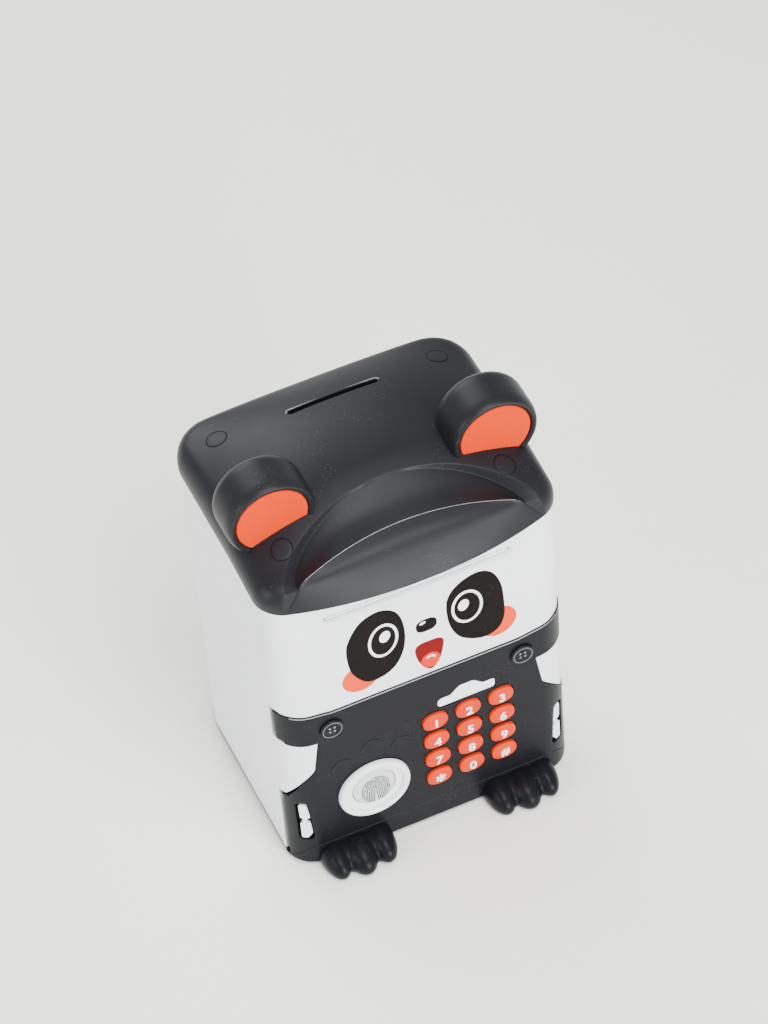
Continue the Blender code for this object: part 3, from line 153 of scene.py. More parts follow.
def grain_group() -> bpy.types.NodeTree:
    """Build the moulded-plastic grain: a fine height, a slow mottle and sparse dust specks.

    Returns:
        The group.
    """
    outputs = {"Height": "NodeSocketFloat", "Mottle": "NodeSocketFloat", "Specks": "NodeSocketFloat"}
    tree = new_group("MouldedGrain", {"Grain Scale": 2600.0, "Mottle Scale": 35.0, "Speck Scale": 900.0},
                     outputs)
    start, end = tree.nodes.new("NodeGroupInput"), tree.nodes.new("NodeGroupOutput")
    place = tree.nodes.new("ShaderNodeTexCoord").outputs["Object"]
    fine = noise_node(tree, place, start.outputs["Grain Scale"], 3.0)
    wave = noise_node(tree, place, math_node(tree, "MULTIPLY", start.outputs["Grain Scale"], 0.07), 2.0)
    height = math_node(tree, "ADD", fine, math_node(tree, "MULTIPLY", wave, 1.6))
    tree.links.new(height, end.inputs["Height"])
    tree.links.new(noise_node(tree, place, start.outputs["Mottle Scale"], 4.0), end.inputs["Mottle"])
    cells = tree.nodes.new("ShaderNodeTexVoronoi")
    tree.links.new(place, cells.inputs["Vector"])
    tree.links.new(start.outputs["Speck Scale"], cells.inputs["Scale"])
    near = math_node(tree, "LESS_THAN", cells.outputs["Distance"], 0.12)
    patch = math_node(tree, "GREATER_THAN", noise_node(tree, place, 60.0, 3.0), 0.6)
    tree.links.new(math_node(tree, "MULTIPLY", near, patch), end.inputs["Specks"])
    return tree


def edge_wear_and_highlight_group() -> bpy.types.NodeTree:
    """Build the edge mask, partly wear and partly a painted highlight, and a normal that rounds the edges.

    Returns:
        The group.
    """
    outputs = {"Worn And Highlight": "NodeSocketFloat", "Soft Normal": "NodeSocketVector"}
    tree = new_group("EdgeWearAndHighlight", {"Radius": 0.0004, "Amount": 1.0, "Breakup": 450.0}, outputs)
    start, end = tree.nodes.new("NodeGroupInput"), tree.nodes.new("NodeGroupOutput")
    bevel = tree.nodes.new("ShaderNodeBevel")
    bevel.samples = 4
    tree.links.new(start.outputs["Radius"], bevel.inputs["Radius"])
    place = tree.nodes.new("ShaderNodeTexCoord")
    flat = tree.nodes.new("ShaderNodeNewGeometry").outputs["Normal"]
    dot = tree.nodes.new("ShaderNodeVectorMath")
    dot.operation = "DOT_PRODUCT"
    tree.links.new(bevel.outputs["Normal"], dot.inputs[0])
    tree.links.new(flat, dot.inputs[1])
    turn = math_node(tree, "SUBTRACT", 1.0, dot.outputs["Value"])
    breakup = noise_node(tree, place.outputs["Object"], start.outputs["Breakup"], 4.0)
    # the mask marks edges that are later lightened, partly as wear and partly as a painted highlight
    worn_and_highlit = math_node(tree, "MULTIPLY", math_node(tree, "MULTIPLY", turn, 5.0, clamp=True), breakup)
    tree.links.new(math_node(tree, "MULTIPLY", worn_and_highlit, start.outputs["Amount"], clamp=True), end.inputs["Worn And Highlight"])
    tree.links.new(bevel.outputs["Normal"], end.inputs["Soft Normal"])
    return tree


@dataclass(frozen=True)
class Finish:
    """A plain or grained surface: colour, gloss, grain, mottling, and edge wear that also carries a painted
    edge highlight.
    """

    name: str
    colour: Place
    roughness: float = 0.4
    metallic: float = 0.0
    grain_scale: float = 2600.0
    grain_depth: float = 0.03
    mottle: float = 0.06
    wear_and_highlight: float = 0.25
    wear_and_highlight_lift: float = 0.25
    edge_radius: float = 0.4
    coat: float = 0.0
    gloss: float = 0.5

    def material(self) -> bpy.types.Material:
        """Give the finish's material, built on its first use.

        Returns:
            The material.
        """
        made = bpy.data.materials.get(self.name)
        if made is not None:
            return made
        made = bpy.data.materials.new(self.name)
        made.use_nodes = True
        tree = made.node_tree
        shader = tree.nodes["Principled BSDF"]
        settings = {"Metallic": self.metallic, "Coat Weight": self.coat, "Coat Roughness": COAT_ROUGHNESS,
                    "Specular IOR Level": self.gloss}
        for label, value in settings.items():
            shader.inputs[label].default_value = value
        grain = self._group(tree, "MouldedGrain", {"Grain Scale": self.grain_scale})
        edge = self._group(tree, "EdgeWearAndHighlight", {"Radius": self.edge_radius * MM, "Amount": self.wear_and_highlight})
        shade = self._mix(tree, grain.outputs["Mottle"], self._tone(1 - self.mottle),
                          self._tone(1 + self.mottle))
        specks = math_node(tree, "MULTIPLY", grain.outputs["Specks"], DUST_SHARE)
        dusty = self._mix(tree, specks, shade, DUST_TONE)
        # painted highlight: edges are lightened towards white, partly as wear and partly standing in for
        # light caught on them
        worn_and_highlit = self._mix(tree, edge.outputs["Worn And Highlight"], dusty, self._worn_and_highlit_colour())
        tree.links.new(worn_and_highlit, shader.inputs["Base Color"])
        centred = math_node(tree, "SUBTRACT", grain.outputs["Mottle"], 0.5)
        rough = math_node(tree, "ADD", math_node(tree, "MULTIPLY", centred, ROUGHNESS_SPREAD), self.roughness)
        worn_rough = math_node(tree, "MULTIPLY", edge.outputs["Worn And Highlight"], WORN_ROUGHNESS)
        rough = math_node(tree, "ADD", rough, worn_rough, clamp=True)
        tree.links.new(rough, shader.inputs["Roughness"])
        bump = tree.nodes.new("ShaderNodeBump")
        bump.inputs["Strength"].default_value = GRAIN_STRENGTH
        bump.inputs["Distance"].default_value = self.grain_depth * MM
        tree.links.new(grain.outputs["Height"], bump.inputs["Height"])
        tree.links.new(edge.outputs["Soft Normal"], bump.inputs["Normal"])
        tree.links.new(bump.outputs["Normal"], shader.inputs["Normal"])
        return made

    def _tone(self, share: float) -> Place:
        """The base colour scaled and kept under 1."""
        return tuple(min(channel * share, 1.0) for channel in self.colour)

    def _worn_and_highlit_colour(self) -> Place:
        """The colour of an edge that is worn and carries a painted highlight: the base colour moved towards
        white.
        """
        return tuple(channel + (1 - channel) * self.wear_and_highlight_lift for channel in self.colour)

    @staticmethod
    def _group(tree: bpy.types.NodeTree, name: str, values: dict[str, float]) -> bpy.types.Node:
        """Place a shared group in a material with its own values."""
        node = tree.nodes.new("ShaderNodeGroup")
        node.node_tree = bpy.data.node_groups[name]
        for label, value in values.items():
            node.inputs[label].default_value = value
        return node

    @staticmethod
    def _mix(tree: bpy.types.NodeTree, share: bpy.types.NodeSocket, low: object,
             high: object) -> bpy.types.NodeSocket:
        """Mix two colours, each a tuple or a socket, by a share."""
        node = tree.nodes.new("ShaderNodeMix")
        node.data_type = "RGBA"
        tree.links.new(share, node.inputs["Factor"])
        for label, value in (("A", low), ("B", high)):
            socket = next(s for s in node.inputs if s.name == label and s.type == "RGBA")
            if isinstance(value, tuple):
                socket.default_value = (*value, 1.0)
            else:
                tree.links.new(value, socket)
        return next(s for s in node.outputs if s.type == "RGBA")


WHITE_ABS = Finish("white_gloss_abs", (0.82, 0.835, 0.865), 0.34, mottle=0.015, wear_and_highlight=0.12, coat=0.15)
WHITE_RING = Finish("white_satin_ring", (0.84, 0.85, 0.87), 0.28, mottle=0.015, wear_and_highlight=0.1, coat=0.3)
CHARCOAL_ABS = Finish("charcoal_satin_abs", (0.006, 0.0063, 0.0082), 0.34, mottle=0.10, wear_and_highlight=0.5,
                      wear_and_highlight_lift=0.06, edge_radius=0.7, gloss=0.09)
LID_ABS = Finish("lid_satin_abs", (0.0095, 0.0098, 0.012), 0.42, mottle=0.08, wear_and_highlight=0.35, wear_and_highlight_lift=0.07,
                 edge_radius=0.6, gloss=0.17)
EAR_ORANGE = Finish("ear_orange_matt", (0.58, 0.034, 0.0008), 0.6, mottle=0.04, wear_and_highlight=0.1, gloss=0.03)
KEY_ORANGE = Finish("key_orange_soft", (0.58, 0.027, 0.0006), 0.4, mottle=0.04, wear_and_highlight=0.15, gloss=0.1)
LABEL_WHITE = Finish("label_white_ink", (0.88, 0.88, 0.88), 0.5, mottle=0.02, wear_and_highlight=0.0, grain_depth=0.01)
INK_BLACK = Finish("face_black_ink", (0.002, 0.001, 0.001), 0.6, mottle=0.05, wear_and_highlight=0.0, grain_depth=0.01,
                   gloss=0.08)
INK_WHITE = Finish("face_white_ink", (0.9, 0.9, 0.9), 0.45, mottle=0.01, wear_and_highlight=0.0, grain_depth=0.01)
INK_CHEEK = Finish("face_cheek_ink", (0.70, 0.050, 0.007), 0.6, mottle=0.03, wear_and_highlight=0.0, grain_depth=0.01,
                   gloss=0.15)
INK_MOUTH = Finish("face_mouth_ink", (0.14, 0.001, 0.001), 0.6, mottle=0.04, wear_and_highlight=0.0, grain_depth=0.01,
                   gloss=0.1)
INK_TONGUE = Finish("face_tongue_ink", (0.62, 0.010, 0.005), 0.6, mottle=0.03, wear_and_highlight=0.0, grain_depth=0.01,
                    gloss=0.15)
PAD_GREY = Finish("pad_grey_touch", (0.60, 0.61, 0.63), 0.42, mottle=0.03, wear_and_highlight=0.1)
RIDGE_BLACK = Finish("ridge_black_ink", (0.006, 0.006, 0.007), 0.6, mottle=0.05, wear_and_highlight=0.0, gloss=0.15)
# grey for the studs' rings and dots, and for beads that paint the strap edge's highlight and the note slot's
# shadow
TRIM_GREY_AND_PAINTED_LIGHT = Finish("trim_grey_and_painted_light_line", (0.16, 0.165, 0.18), 0.28, mottle=0.05, wear_and_highlight=0.2, coat=0.3)
# glossy grey for the coin slot's lip, and for the bead that paints the visor crease's highlight
LIP_GREY_AND_CREASE_HIGHLIGHT = Finish("slot_lip_gloss", (0.12, 0.125, 0.135), 0.2, mottle=0.05, wear_and_highlight=0.3, coat=0.5)
WINDOW_WHITE = Finish("window_milk_white", (0.88, 0.90, 0.93), 0.22, mottle=0.01, wear_and_highlight=0.0, coat=0.4)
DARK_INSIDE = Finish("dark_inner_abs", (0.055, 0.057, 0.062), 0.55, mottle=0.10, wear_and_highlight=0.25)
RUBBER = Finish("black_rubber", (0.022, 0.022, 0.023), 0.82, mottle=0.15, wear_and_highlight=0.1, grain_depth=0.06)
STEEL = Finish("brushed_steel", (0.58, 0.58, 0.60), 0.3, metallic=1.0, mottle=0.08, wear_and_highlight=0.4,
               grain_scale=4200.0)
BRASS = Finish("pinion_brass", (0.74, 0.53, 0.22), 0.3, metallic=1.0, mottle=0.08, wear_and_highlight=0.3)
BOARD = Finish("board_green_resist", (0.018, 0.14, 0.055), 0.4, mottle=0.2, wear_and_highlight=0.2, coat=0.3)
GEAR_WHITE = Finish("gear_white_acetal", (0.78, 0.78, 0.72), 0.45, mottle=0.04, wear_and_highlight=0.15)
CELL_WRAP = Finish("cell_orange_wrap", (0.75, 0.20, 0.03), 0.32, mottle=0.05, wear_and_highlight=0.3, coat=0.3)


# ---------------------------------------------------------------- mesh helpers


def store(name: str, bm: bmesh.types.BMesh, finish: Finish, smooth: bool = True) -> bpy.types.Object:
    """Turn a mesh drawn in millimetres into an object at the origin, facing outwards.

    Args:
        name: the object's name.
        bm: the mesh, which is freed.
        finish: what it is made of.
        smooth: shade it smooth up to the smooth angle.

    Returns:
        The linked object.
    """
    bmesh.ops.remove_doubles(bm, verts=bm.verts, dist=WELD_DISTANCE)
    bmesh.ops.recalc_face_normals(bm, faces=bm.faces)
    if bm.calc_volume(signed=True) < 0:
        bmesh.ops.reverse_faces(bm, faces=bm.faces)
    bmesh.ops.scale(bm, vec=(MM, MM, MM), verts=bm.verts)
    mesh = bpy.data.meshes.new(name)
    bm.to_mesh(mesh)
    bm.free()
    mesh.materials.append(finish.material())
    if smooth:
        mesh.shade_smooth()
        mesh.set_sharp_from_angle(angle=SMOOTH_ANGLE)
    obj = bpy.data.objects.new(name, mesh)
    bpy.context.scene.collection.objects.link(obj)
    return obj


def settle(obj: bpy.types.Object) -> bpy.types.Object:
    """Apply an object's modifiers by swapping in its evaluated mesh, shaded smooth up to the smooth angle.

    Args:
        obj: the object.

    Returns:
        The same object, with no modifier left.
    """
    graph = bpy.context.evaluated_depsgraph_get()
    mesh = bpy.data.meshes.new_from_object(obj.evaluated_get(graph))
    obj.modifiers.clear()
    obj.data = mesh
    mesh.shade_smooth()
    mesh.set_sharp_from_angle(angle=SMOOTH_ANGLE)
    return obj


def trim(obj: bpy.types.Object, tool: bmesh.types.BMesh, operation: str = "DIFFERENCE") -> None:
    """Cut a solid from an object, or join it on, and apply the result.

    Args:
        obj: the object to change.
        tool: the other solid, in millimetres.
        operation: the Boolean's operation.
    """
    cutter = store("cutter", tool, STEEL, smooth=False)
    cutter.data.materials.clear()
    cutter.data.materials.append(obj.data.materials[0])
    modifier = obj.modifiers.new("cut", "BOOLEAN")
    modifier.operation, modifier.solver, modifier.object = operation, "EXACT", cutter
    settle(obj)
    bpy.data.objects.remove(cutter)


def hang(obj: bpy.types.Object, body: str, slot: str, *nodes: str) -> bpy.types.Object:
    """Make a piece ride a body and stand for CAD nodes.

    Args:
        obj: the piece.
        body: the CAD body that it moves with.
        slot: the record's material slot; not used.
        nodes: the CAD nodes that it stands for.

    Returns:
        The piece.
    """
    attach(obj, body)
    if nodes:
        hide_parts(*nodes)
    log.info("%s rides %s, %d faces", obj.name, body, len(obj.data.polygons))
    return obj


def bridge(bm: bmesh.types.BMesh, low: Vertices, high: Vertices, closed: bool = True) -> None:
    """Join two rows of equally many vertices with quads.

    Args:
        bm: the mesh to draw in.
        low: the first row.
        high: the second row.
        closed: the rows are loops.
    """
    count = len(low)
    for i in range(count if closed else count - 1):
        bm.faces.new((low[i], low[(i + 1) % count], high[(i + 1) % count], high[i]))


def skin(bm: bmesh.types.BMesh, rings: Sequence[Ring],
         wrapped: bool = False) -> list[list[bmesh.types.BMVert]]:
    """Join closed rings of equally many points with quads.

    Args:
        bm: the mesh to draw in.
        rings: the rings, in order.
        wrapped: also join the last ring to the first.

    Returns:
        The vertices of each ring.
    """
    loops = [[bm.verts.new(point) for point in ring] for ring in rings]
    pairs = list(zip(loops, loops[1:])) + ([(loops[-1], loops[0])] if wrapped else [])
    for low, high in pairs:
        bridge(bm, low, high)
    return loops


def loft(rings: Sequence[Ring]) -> bmesh.types.BMesh:
    """A closed solid through rings, with flat ends."""
    bm = bmesh.new()
    loops = skin(bm, rings)
    bm.faces.new(loops[0])
    bm.faces.new(loops[-1])
    return bm


def tube(rings: Sequence[Ring]) -> bmesh.types.BMesh:
    """A ring-shaped solid: the last ring is joined to the first."""
    bm = bmesh.new()
    skin(bm, rings, wrapped=True)
    return bm


def at(axis: str, a: float, b: float, level: float) -> Place:
    """A point on the plane across an axis, with a and b along the other two in X, Y, Z order."""
    return {"X": (level, a, b), "Y": (a, level, b), "Z": (a, b, level)}[axis]


def prism(outline: Outline, axis: str, low: float, high: float) -> bmesh.types.BMesh:
    """A straight solid over an outline."""
    return loft([[at(axis, a, b, level) for a, b in outline] for level in (low, high)])


def rectangle(left: float, right: float, low: float, high: float) -> Outline:
    """Corners of a rectangle."""
    return [(left, low), (right, low), (right, high), (left, high)]


def circle(a: float, b: float, radius: float, count: int = 64) -> Outline:
    """Points round a circle."""
    turns = [2 * math.pi * i / count for i in range(count)]
    return [(a + radius * math.cos(t), b + radius * math.sin(t)) for t in turns]


def ellipse(a: float, b: float, half_a: float, half_b: float, lean: float = 0.0, count: int = 64) -> Outline:
    """Points round an ellipse that leans by an angle in degrees."""
    c, s = math.cos(math.radians(lean)), math.sin(math.radians(lean))
    points = [(half_a * x, half_b * y) for x, y in circle(0.0, 0.0, 1.0, count)]
    return [(a + c * x - s * y, b + s * x + c * y) for x, y in points]


def oval(a: float, b: float, width: float, height: float, count: int = 48, power: float = 2.4) -> Outline:
    """A superellipse."""
    points = []
    for x, y in circle(0.0, 0.0, 1.0, count):
        across = math.copysign(abs(x) ** (2 / power), x) * width / 2
        up = math.copysign(abs(y) ** (2 / power), y) * height / 2
        points.append((a + across, b + up))
    return points


def stadium(a: float, b: float, half: float, radius: float, count: int = 12) -> Outline:
    """An outline with round ends, along the first axis."""
    turns = [math.pi * i / count for i in range(count + 1)]
    right = [(a + half + radius * math.sin(t), b - radius * math.cos(t)) for t in turns]
    return right + [(a - half - radius * math.sin(t), b + radius * math.cos(t)) for t in turns]


def turned(axis: str, a: float, b: float, profile: Iterable[Point], hollow: bool = False,
           count: int = 96) -> bmesh.types.BMesh:
    """A solid of revolution through (radius, level) points, closed on itself if it is hollow."""
    rings = [[at(axis, p, q, level) for p, q in circle(a, b, radius, count)] for radius, level in profile]
    return tube(rings) if hollow else loft(rings)


def rounded(corners: Sequence[Place], steps: int = 8) -> Outline:
    """Turn (a, b, radius) corners into an outline whose corners are arcs.

    Args:
        corners: the corners, in order.
        steps: how many pieces each arc has.

    Returns:
        The outline.
    """
    outline: Outline = []
    count = len(corners)
    for i, (a, b, radius) in enumerate(corners):
        here = Vector((a, b))
        if radius == 0:
            outline.append((a, b))
            continue
        before = (Vector(corners[i - 1][:2]) - here).normalized()
        after = (Vector(corners[(i + 1) % count][:2]) - here).normalized()
        half = before.angle(after) / 2
        centre = here + (before + after).normalized() * radius / math.sin(half)
        start = here + before * radius / math.tan(half) - centre
        sweep = start.angle_signed(here + after * radius / math.tan(half) - centre)
        for step in range(steps + 1):
            turn = -sweep * step / steps
            x = start.x * math.cos(turn) - start.y * math.sin(turn)
            y = start.x * math.sin(turn) + start.y * math.cos(turn)
            outline.append((centre.x + x, centre.y + y))
    return outline


def offset(outline: Outline, distance: float) -> Outline:
    """Move a counterclockwise outline outwards, with mitred corners."""
    moved = []
    count = len(outline)
    for i in range(count):
        here = Vector(outline[i])
        before = (here - Vector(outline[i - 1])).normalized()
        after = (Vector(outline[(i + 1) % count]) - here).normalized()
        out_before, out_after = Vector((before.y, -before.x)), Vector((after.y, -after.x))
        across = (out_before + out_after).normalized()
        moved.append(tuple(here + across * distance / max(across.dot(out_before), 0.4)))
    return moved


def spline(points: Sequence[Sequence[float]], closed: bool, steps: int = 6) -> list[Vector]:
    """A smooth curve through points.

    Args:
        points: the points, each with two or three numbers.
        closed: join the end to the start.
        steps: pieces between two points.

    Returns:
        The curve's points.
    """
    given = [Vector(point) for point in points]
    count = len(given)
    found = []
    for i in range(count if closed else count - 1):
        p1, p2 = given[i], given[(i + 1) % count]
        p0 = given[i - 1] if closed or i > 0 else p1 * 2 - p2
        p3 = given[(i + 2) % count] if closed or i + 2 < count else p2 * 2 - p1
        for step in range(steps):
            t = step / steps
            found.append(0.5 * (p1 * 2 + (p2 - p0) * t + (p0 * 2 - p1 * 5 + p2 * 4 - p3) * t * t
                                + (p1 * 3 - p0 - p2 * 3 + p3) * t**3))
    return found if closed else found + [given[-1]]


# ---------------------------------------------------------------- repeated and path-following pieces


class GeometryTool:
    """A Geometry Nodes tree that takes a mesh and named inputs and gives a plain mesh of one finish."""

    def __init__(self, name: str, inputs: dict[str, str]) -> None:
        """Start the tree with its inputs, its output and a Finish input.

        Args:
            name: the tree's name.
            inputs: each named input and its kind, such as Float.
        """
        self.tree = bpy.data.node_groups.new(name, "GeometryNodeTree")
        socket = self.tree.interface.new_socket
        socket("Geometry", in_out="INPUT", socket_type="NodeSocketGeometry")
        self.inputs = {label: socket(label, in_out="INPUT", socket_type=f"NodeSocket{kind}").identifier
                       for label, kind in {**inputs, "Finish": "Material"}.items()}
        socket("Geometry", in_out="OUTPUT", socket_type="NodeSocketGeometry")
        self.start = self.tree.nodes.new("NodeGroupInput")

    def close(self, geometry: bpy.types.NodeSocket) -> None:
        """End the tree: make the instances real and set the material."""
        new, link = self.tree.nodes.new, self.tree.links.new
        real, paint = new("GeometryNodeRealizeInstances"), new("GeometryNodeSetMaterial")
        link(geometry, real.inputs["Geometry"])
        link(real.outputs["Geometry"], paint.inputs["Geometry"])
        link(self.start.outputs["Finish"], paint.inputs["Material"])
        link(paint.outputs["Geometry"], new("NodeGroupOutput").inputs["Geometry"])

    def run(self, obj: bpy.types.Object, finish: Finish, values: dict[str, object]) -> bpy.types.Object:
        """Run the tree on an object and apply the result.

        Args:
            obj: the object.
            finish: what the result is made of.
            values: a value for each named input.

        Returns:
            The same object, with no modifier left.
        """
        modifier = obj.modifiers.new(self.tree.name, "NODES")
        modifier.node_group = self.tree
        for label, value in {**values, "Finish": finish.material()}.items():
            modifier[self.inputs[label]] = value
        return settle(obj)


class PathTree(GeometryTool):
    """Runs a round bead along the edges of its mesh."""

    def __init__(self) -> None:
        """Build the tree once: mesh to curve, then a round section."""
        super().__init__("BeadAlongPath", {"Radius": "Float", "Sides": "Int"})
        new, link = self.tree.nodes.new, self.tree.links.new
        path, ring = new("GeometryNodeMeshToCurve"), new("GeometryNodeCurvePrimitiveCircle")
        sweep = new("GeometryNodeCurveToMesh")
        sweep.inputs["Fill Caps"].default_value = True
        link(self.start.outputs["Geometry"], path.inputs["Mesh"])
        link(self.start.outputs["Radius"], ring.inputs["Radius"])
        link(self.start.outputs["Sides"], ring.inputs["Resolution"])
        link(path.outputs["Curve"], sweep.inputs["Curve"])
        link(ring.outputs["Curve"], sweep.inputs["Profile Curve"])
        self.close(sweep.outputs["Mesh"])

    def bead(self, name: str, paths: Sequence[tuple[Sequence[Sequence[float]], bool]], radius: float,
             finish: Finish, sides: int = 10) -> bpy.types.Object:
        """Run a bead along each path.

        Args:
            name: the piece's name.
            paths: each path's points, and whether it is closed.
            radius: the bead's radius.
            finish: what it is made of.
            sides: how many faces go round it.

        Returns:
            The piece, as a plain mesh.
        """
        mesh = bpy.data.meshes.new(name)
        verts, edges = [], []
        for points, closed in paths:
            first, count = len(verts), len(points)
            verts += [tuple(Vector(point) * MM) for point in points]
            edges += [(first + i, first + (i + 1) % count) for i in range(count if closed else count - 1)]
        mesh.from_pydata(verts, edges, [])
        mesh.materials.append(finish.material())
        obj = bpy.data.objects.new(name, mesh)
        bpy.context.scene.collection.objects.link(obj)
        return outward(self.run(obj, finish, {"Radius": radius * MM, "Sides": sides}))


class RepeatTree(GeometryTool):
    """Puts copies of its mesh on a ring of points that faces the front or the back."""

    def __init__(self) -> None:
        """Build the tree once: a ring of points, then instances."""
        super().__init__("CopiesOnRing", {"Count": "Int", "Reach Across": "Float", "Reach Up": "Float",
                                          "Centre": "Vector", "Phase": "Float"})
        new, link, given = self.tree.nodes.new, self.tree.links.new, self.start.outputs
        ring, index = new("GeometryNodeMeshCircle"), new("GeometryNodeInputIndex")
        copies, shift = new("GeometryNodeInstanceOnPoints"), new("GeometryNodeSetPosition")
        place, total = new("ShaderNodeCombineXYZ"), new("ShaderNodeVectorMath")
        ratio = math_node(self.tree, "DIVIDE", index.outputs["Index"], given["Count"])
        turn = math_node(self.tree, "ADD", math_node(self.tree, "MULTIPLY", ratio, 2 * math.pi),
                         given["Phase"])
        for wave, reach, axis in (("COSINE", "Reach Across", "X"), ("SINE", "Reach Up", "Z")):
            link(math_node(self.tree, "MULTIPLY", math_node(self.tree, wave, turn), given[reach]),
                 place.inputs[axis])
        link(given["Count"], ring.inputs["Vertices"])
        link(place.outputs["Vector"], total.inputs[0])
        link(given["Centre"], total.inputs[1])
        link(ring.outputs["Mesh"], shift.inputs["Geometry"])
        link(total.outputs["Vector"], shift.inputs["Position"])
        link(shift.outputs["Geometry"], copies.inputs["Points"])
        link(given["Geometry"], copies.inputs["Instance"])
        self.close(copies.outputs["Instances"])

    def copies(self, name: str, unit: bmesh.types.BMesh, count: int, centre: Sequence[float],
               reach: Point, finish: Finish, phase: float = 0.0) -> bpy.types.Object:
        """Copy a unit drawn round the origin onto a ring that faces the front or the back.

        Args:
            name: the piece's name.
            unit: the mesh to copy, in millimetres.
            count: how many copies.
            centre: the ring's middle.
            reach: the ring's half width and half height.
            finish: what the copies are made of.
            phase: where the first copy sits, in radians.

        Returns:
            The piece, as a plain mesh.
        """
        values = {"Count": count, "Reach Across": reach[0] * MM, "Reach Up": reach[1] * MM,
                  "Centre": [value * MM for value in centre], "Phase": phase}
        return self.run(store(name, unit, finish), finish, values)


def outward(obj: bpy.types.Object) -> bpy.types.Object:
    """Turn a closed mesh's faces outwards."""
    bm = bmesh.new()
    bm.from_mesh(obj.data)
    bmesh.ops.recalc_face_normals(bm, faces=bm.faces)
    bm.to_mesh(obj.data)
    bm.free()
    return obj


def lettering(name: str, text: str, size: float, place: Callable[[float, float, float], Sequence[float]],
              finish: Finish, thick: float = 0.1) -> bpy.types.Object:
    """Make a raised label from generic characters.

    Args:
        name: the piece's name.
        text: the characters.
        size: the type's height.
        place: turns (across, up, out) into a place in millimetres.
        finish: what it is made of.
        thick: how thick the label is.

    Returns:
        The piece, as a plain mesh.
    """
    font = bpy.data.curves.new(name, "FONT")
    font.body, font.size, font.align_x, font.align_y = text, size, "CENTER", "CENTER"
    font.offset, font.extrude, font.resolution_u = 0.022 * size, thick / 2, 4
    holder = bpy.data.objects.new(name, font)
    bpy.context.scene.collection.objects.link(holder)
    mesh = bpy.data.meshes.new_from_object(holder.evaluated_get(bpy.context.evaluated_depsgraph_get()))
    bpy.data.objects.remove(holder)
    bm = bmesh.new()
    bm.from_mesh(mesh)
    low, high = (min(v.co.y for v in bm.verts), max(v.co.y for v in bm.verts))
    for vert in bm.verts:
        vert.co = Vector(place(vert.co.x, vert.co.y - (low + high) / 2, vert.co.z))
    return store(name, bm, finish, smooth=False)


# ---------------------------------------------------------------- the bank's form


@dataclass(frozen=True)
class Form:
    """Sizes that several pieces share, and the places that follow from them."""

    width: float = 130.0
    depth: float = 103.7
    front_y: float = -43.7
    front_radius: float = 13.0
    back_radius: float = 19.0
    wall: float = 2.4
    foot_lift: float = 3.0
    rim_front: float = 161.6
    rim_back: float = 164.1
    rim_slope: float = 23.0

    @property
    def half(self) -> float:
        """Half the body's width."""
        return self.width / 2

    @property
    def back_y(self) -> float:
        """World y of the back wall."""
        return self.front_y + self.depth

    @property
    def mid_y(self) -> float:
        """World y of the body's middle."""
        return self.front_y + self.depth / 2

    @property
    def flat_half(self) -> float:
        """Half the flat part of the front."""
        return self.half - self.front_radius

    @property
    def corner_length(self) -> float:
        """Length of skin round one front corner."""
        return self.front_radius * math.pi / 2

    def rise(self, value: float) -> float:
        """World height of a place above the body's underside."""
        return self.foot_lift + value

    def plan(self, y: float) -> float:
        """World y of a place given from the body's middle."""
        return self.mid_y + y

    def rim(self, y: float) -> float:
        """Rise of the body's rim at a world y."""
        run = min(max((y - self.front_y - self.front_radius) / self.rim_slope, 0.0), 1.0)
        return self.rim_front + (self.rim_back - self.rim_front) * run

    def outline(self, inset: float, steps: int = 20) -> Outline:
        """Plan of the body, counterclockwise, with points where the rim starts to slope.

        Args:
            inset: how far inside the outer skin.
            steps: pieces in each corner.

        Returns:
            The outline.
        """
        half, front, back = self.half - inset, self.front_y + inset, self.back_y - inset
        front_r, back_r = self.front_radius - inset, self.back_radius - inset
        slope = self.front_y + self.front_radius + self.rim_slope
        corners = (
            (half - back_r, back - back_r, back_r, 0.0),
            (back_r - half, back - back_r, back_r, 90.0),
            (front_r - half, front + front_r, front_r, 180.0),
            (half - front_r, front + front_r, front_r, 270.0),
        )
        points: Outline = []
        for x, y, radius, first in corners:
            for step in range(steps + 1):
                turn = math.radians(first + 90.0 * step / steps)
                points.append((x + radius * math.cos(turn), y + radius * math.sin(turn)))
            if first == 90.0:
                points.append((-half, slope))
        points.append((half, slope))
        return points

    def wrap(self, along: float, depth: float, height: float) -> Place:
        """Place on the front skin, with the depth counted inwards from the body's outside."""
        side, far = math.copysign(1.0, along), abs(along)
        radius = self.front_radius - depth
        if far <= self.flat_half:
            return (along, self.front_y + depth, self.rise(height))
        turn = min((far - self.flat_half) / self.front_radius, math.pi / 2)
        beyond = max(far - self.flat_half - self.corner_length, 0.0)
        x = self.flat_half + radius * math.sin(turn)
        y = self.front_y + self.front_radius - radius * math.cos(turn) + beyond
        return (side * x, y, self.rise(height))

    def wrapped(self, outline: Outline, outer: float, inner: float, columns: int = 18) -> bmesh.types.BMesh:
        """A plate that follows the front skin from one depth to another.

        Args:
            outline: the plate's outline as (along, rise).
            outer: depth of its outer face.
            inner: depth of its inner face.
            columns: pieces round each corner.

        Returns:
            The solid.
        """
        bm = bmesh.new()
        bm.faces.new([bm.verts.new((along, 0.0, height)) for along, height in outline])
        bm.normal_update()
        bmesh.ops.triangulate(bm, faces=bm.faces[:])
        for column in range(columns + 1):
            for side in (-1, 1):
                where = side * (self.flat_half + self.corner_length * column / columns)
                everything = bm.verts[:] + bm.edges[:] + bm.faces[:]
                bmesh.ops.bisect_plane(bm, geom=everything, plane_co=(where, 0, 0), plane_no=(1, 0, 0))
        grown = bmesh.ops.extrude_face_region(bm, geom=bm.faces[:])["geom"]
        back = {element for element in grown if isinstance(element, bmesh.types.BMVert)}
        for vert in bm.verts:
            vert.co = self.wrap(vert.co.x, inner if vert in back else outer, vert.co.z)
        return bm


FORM = Form()


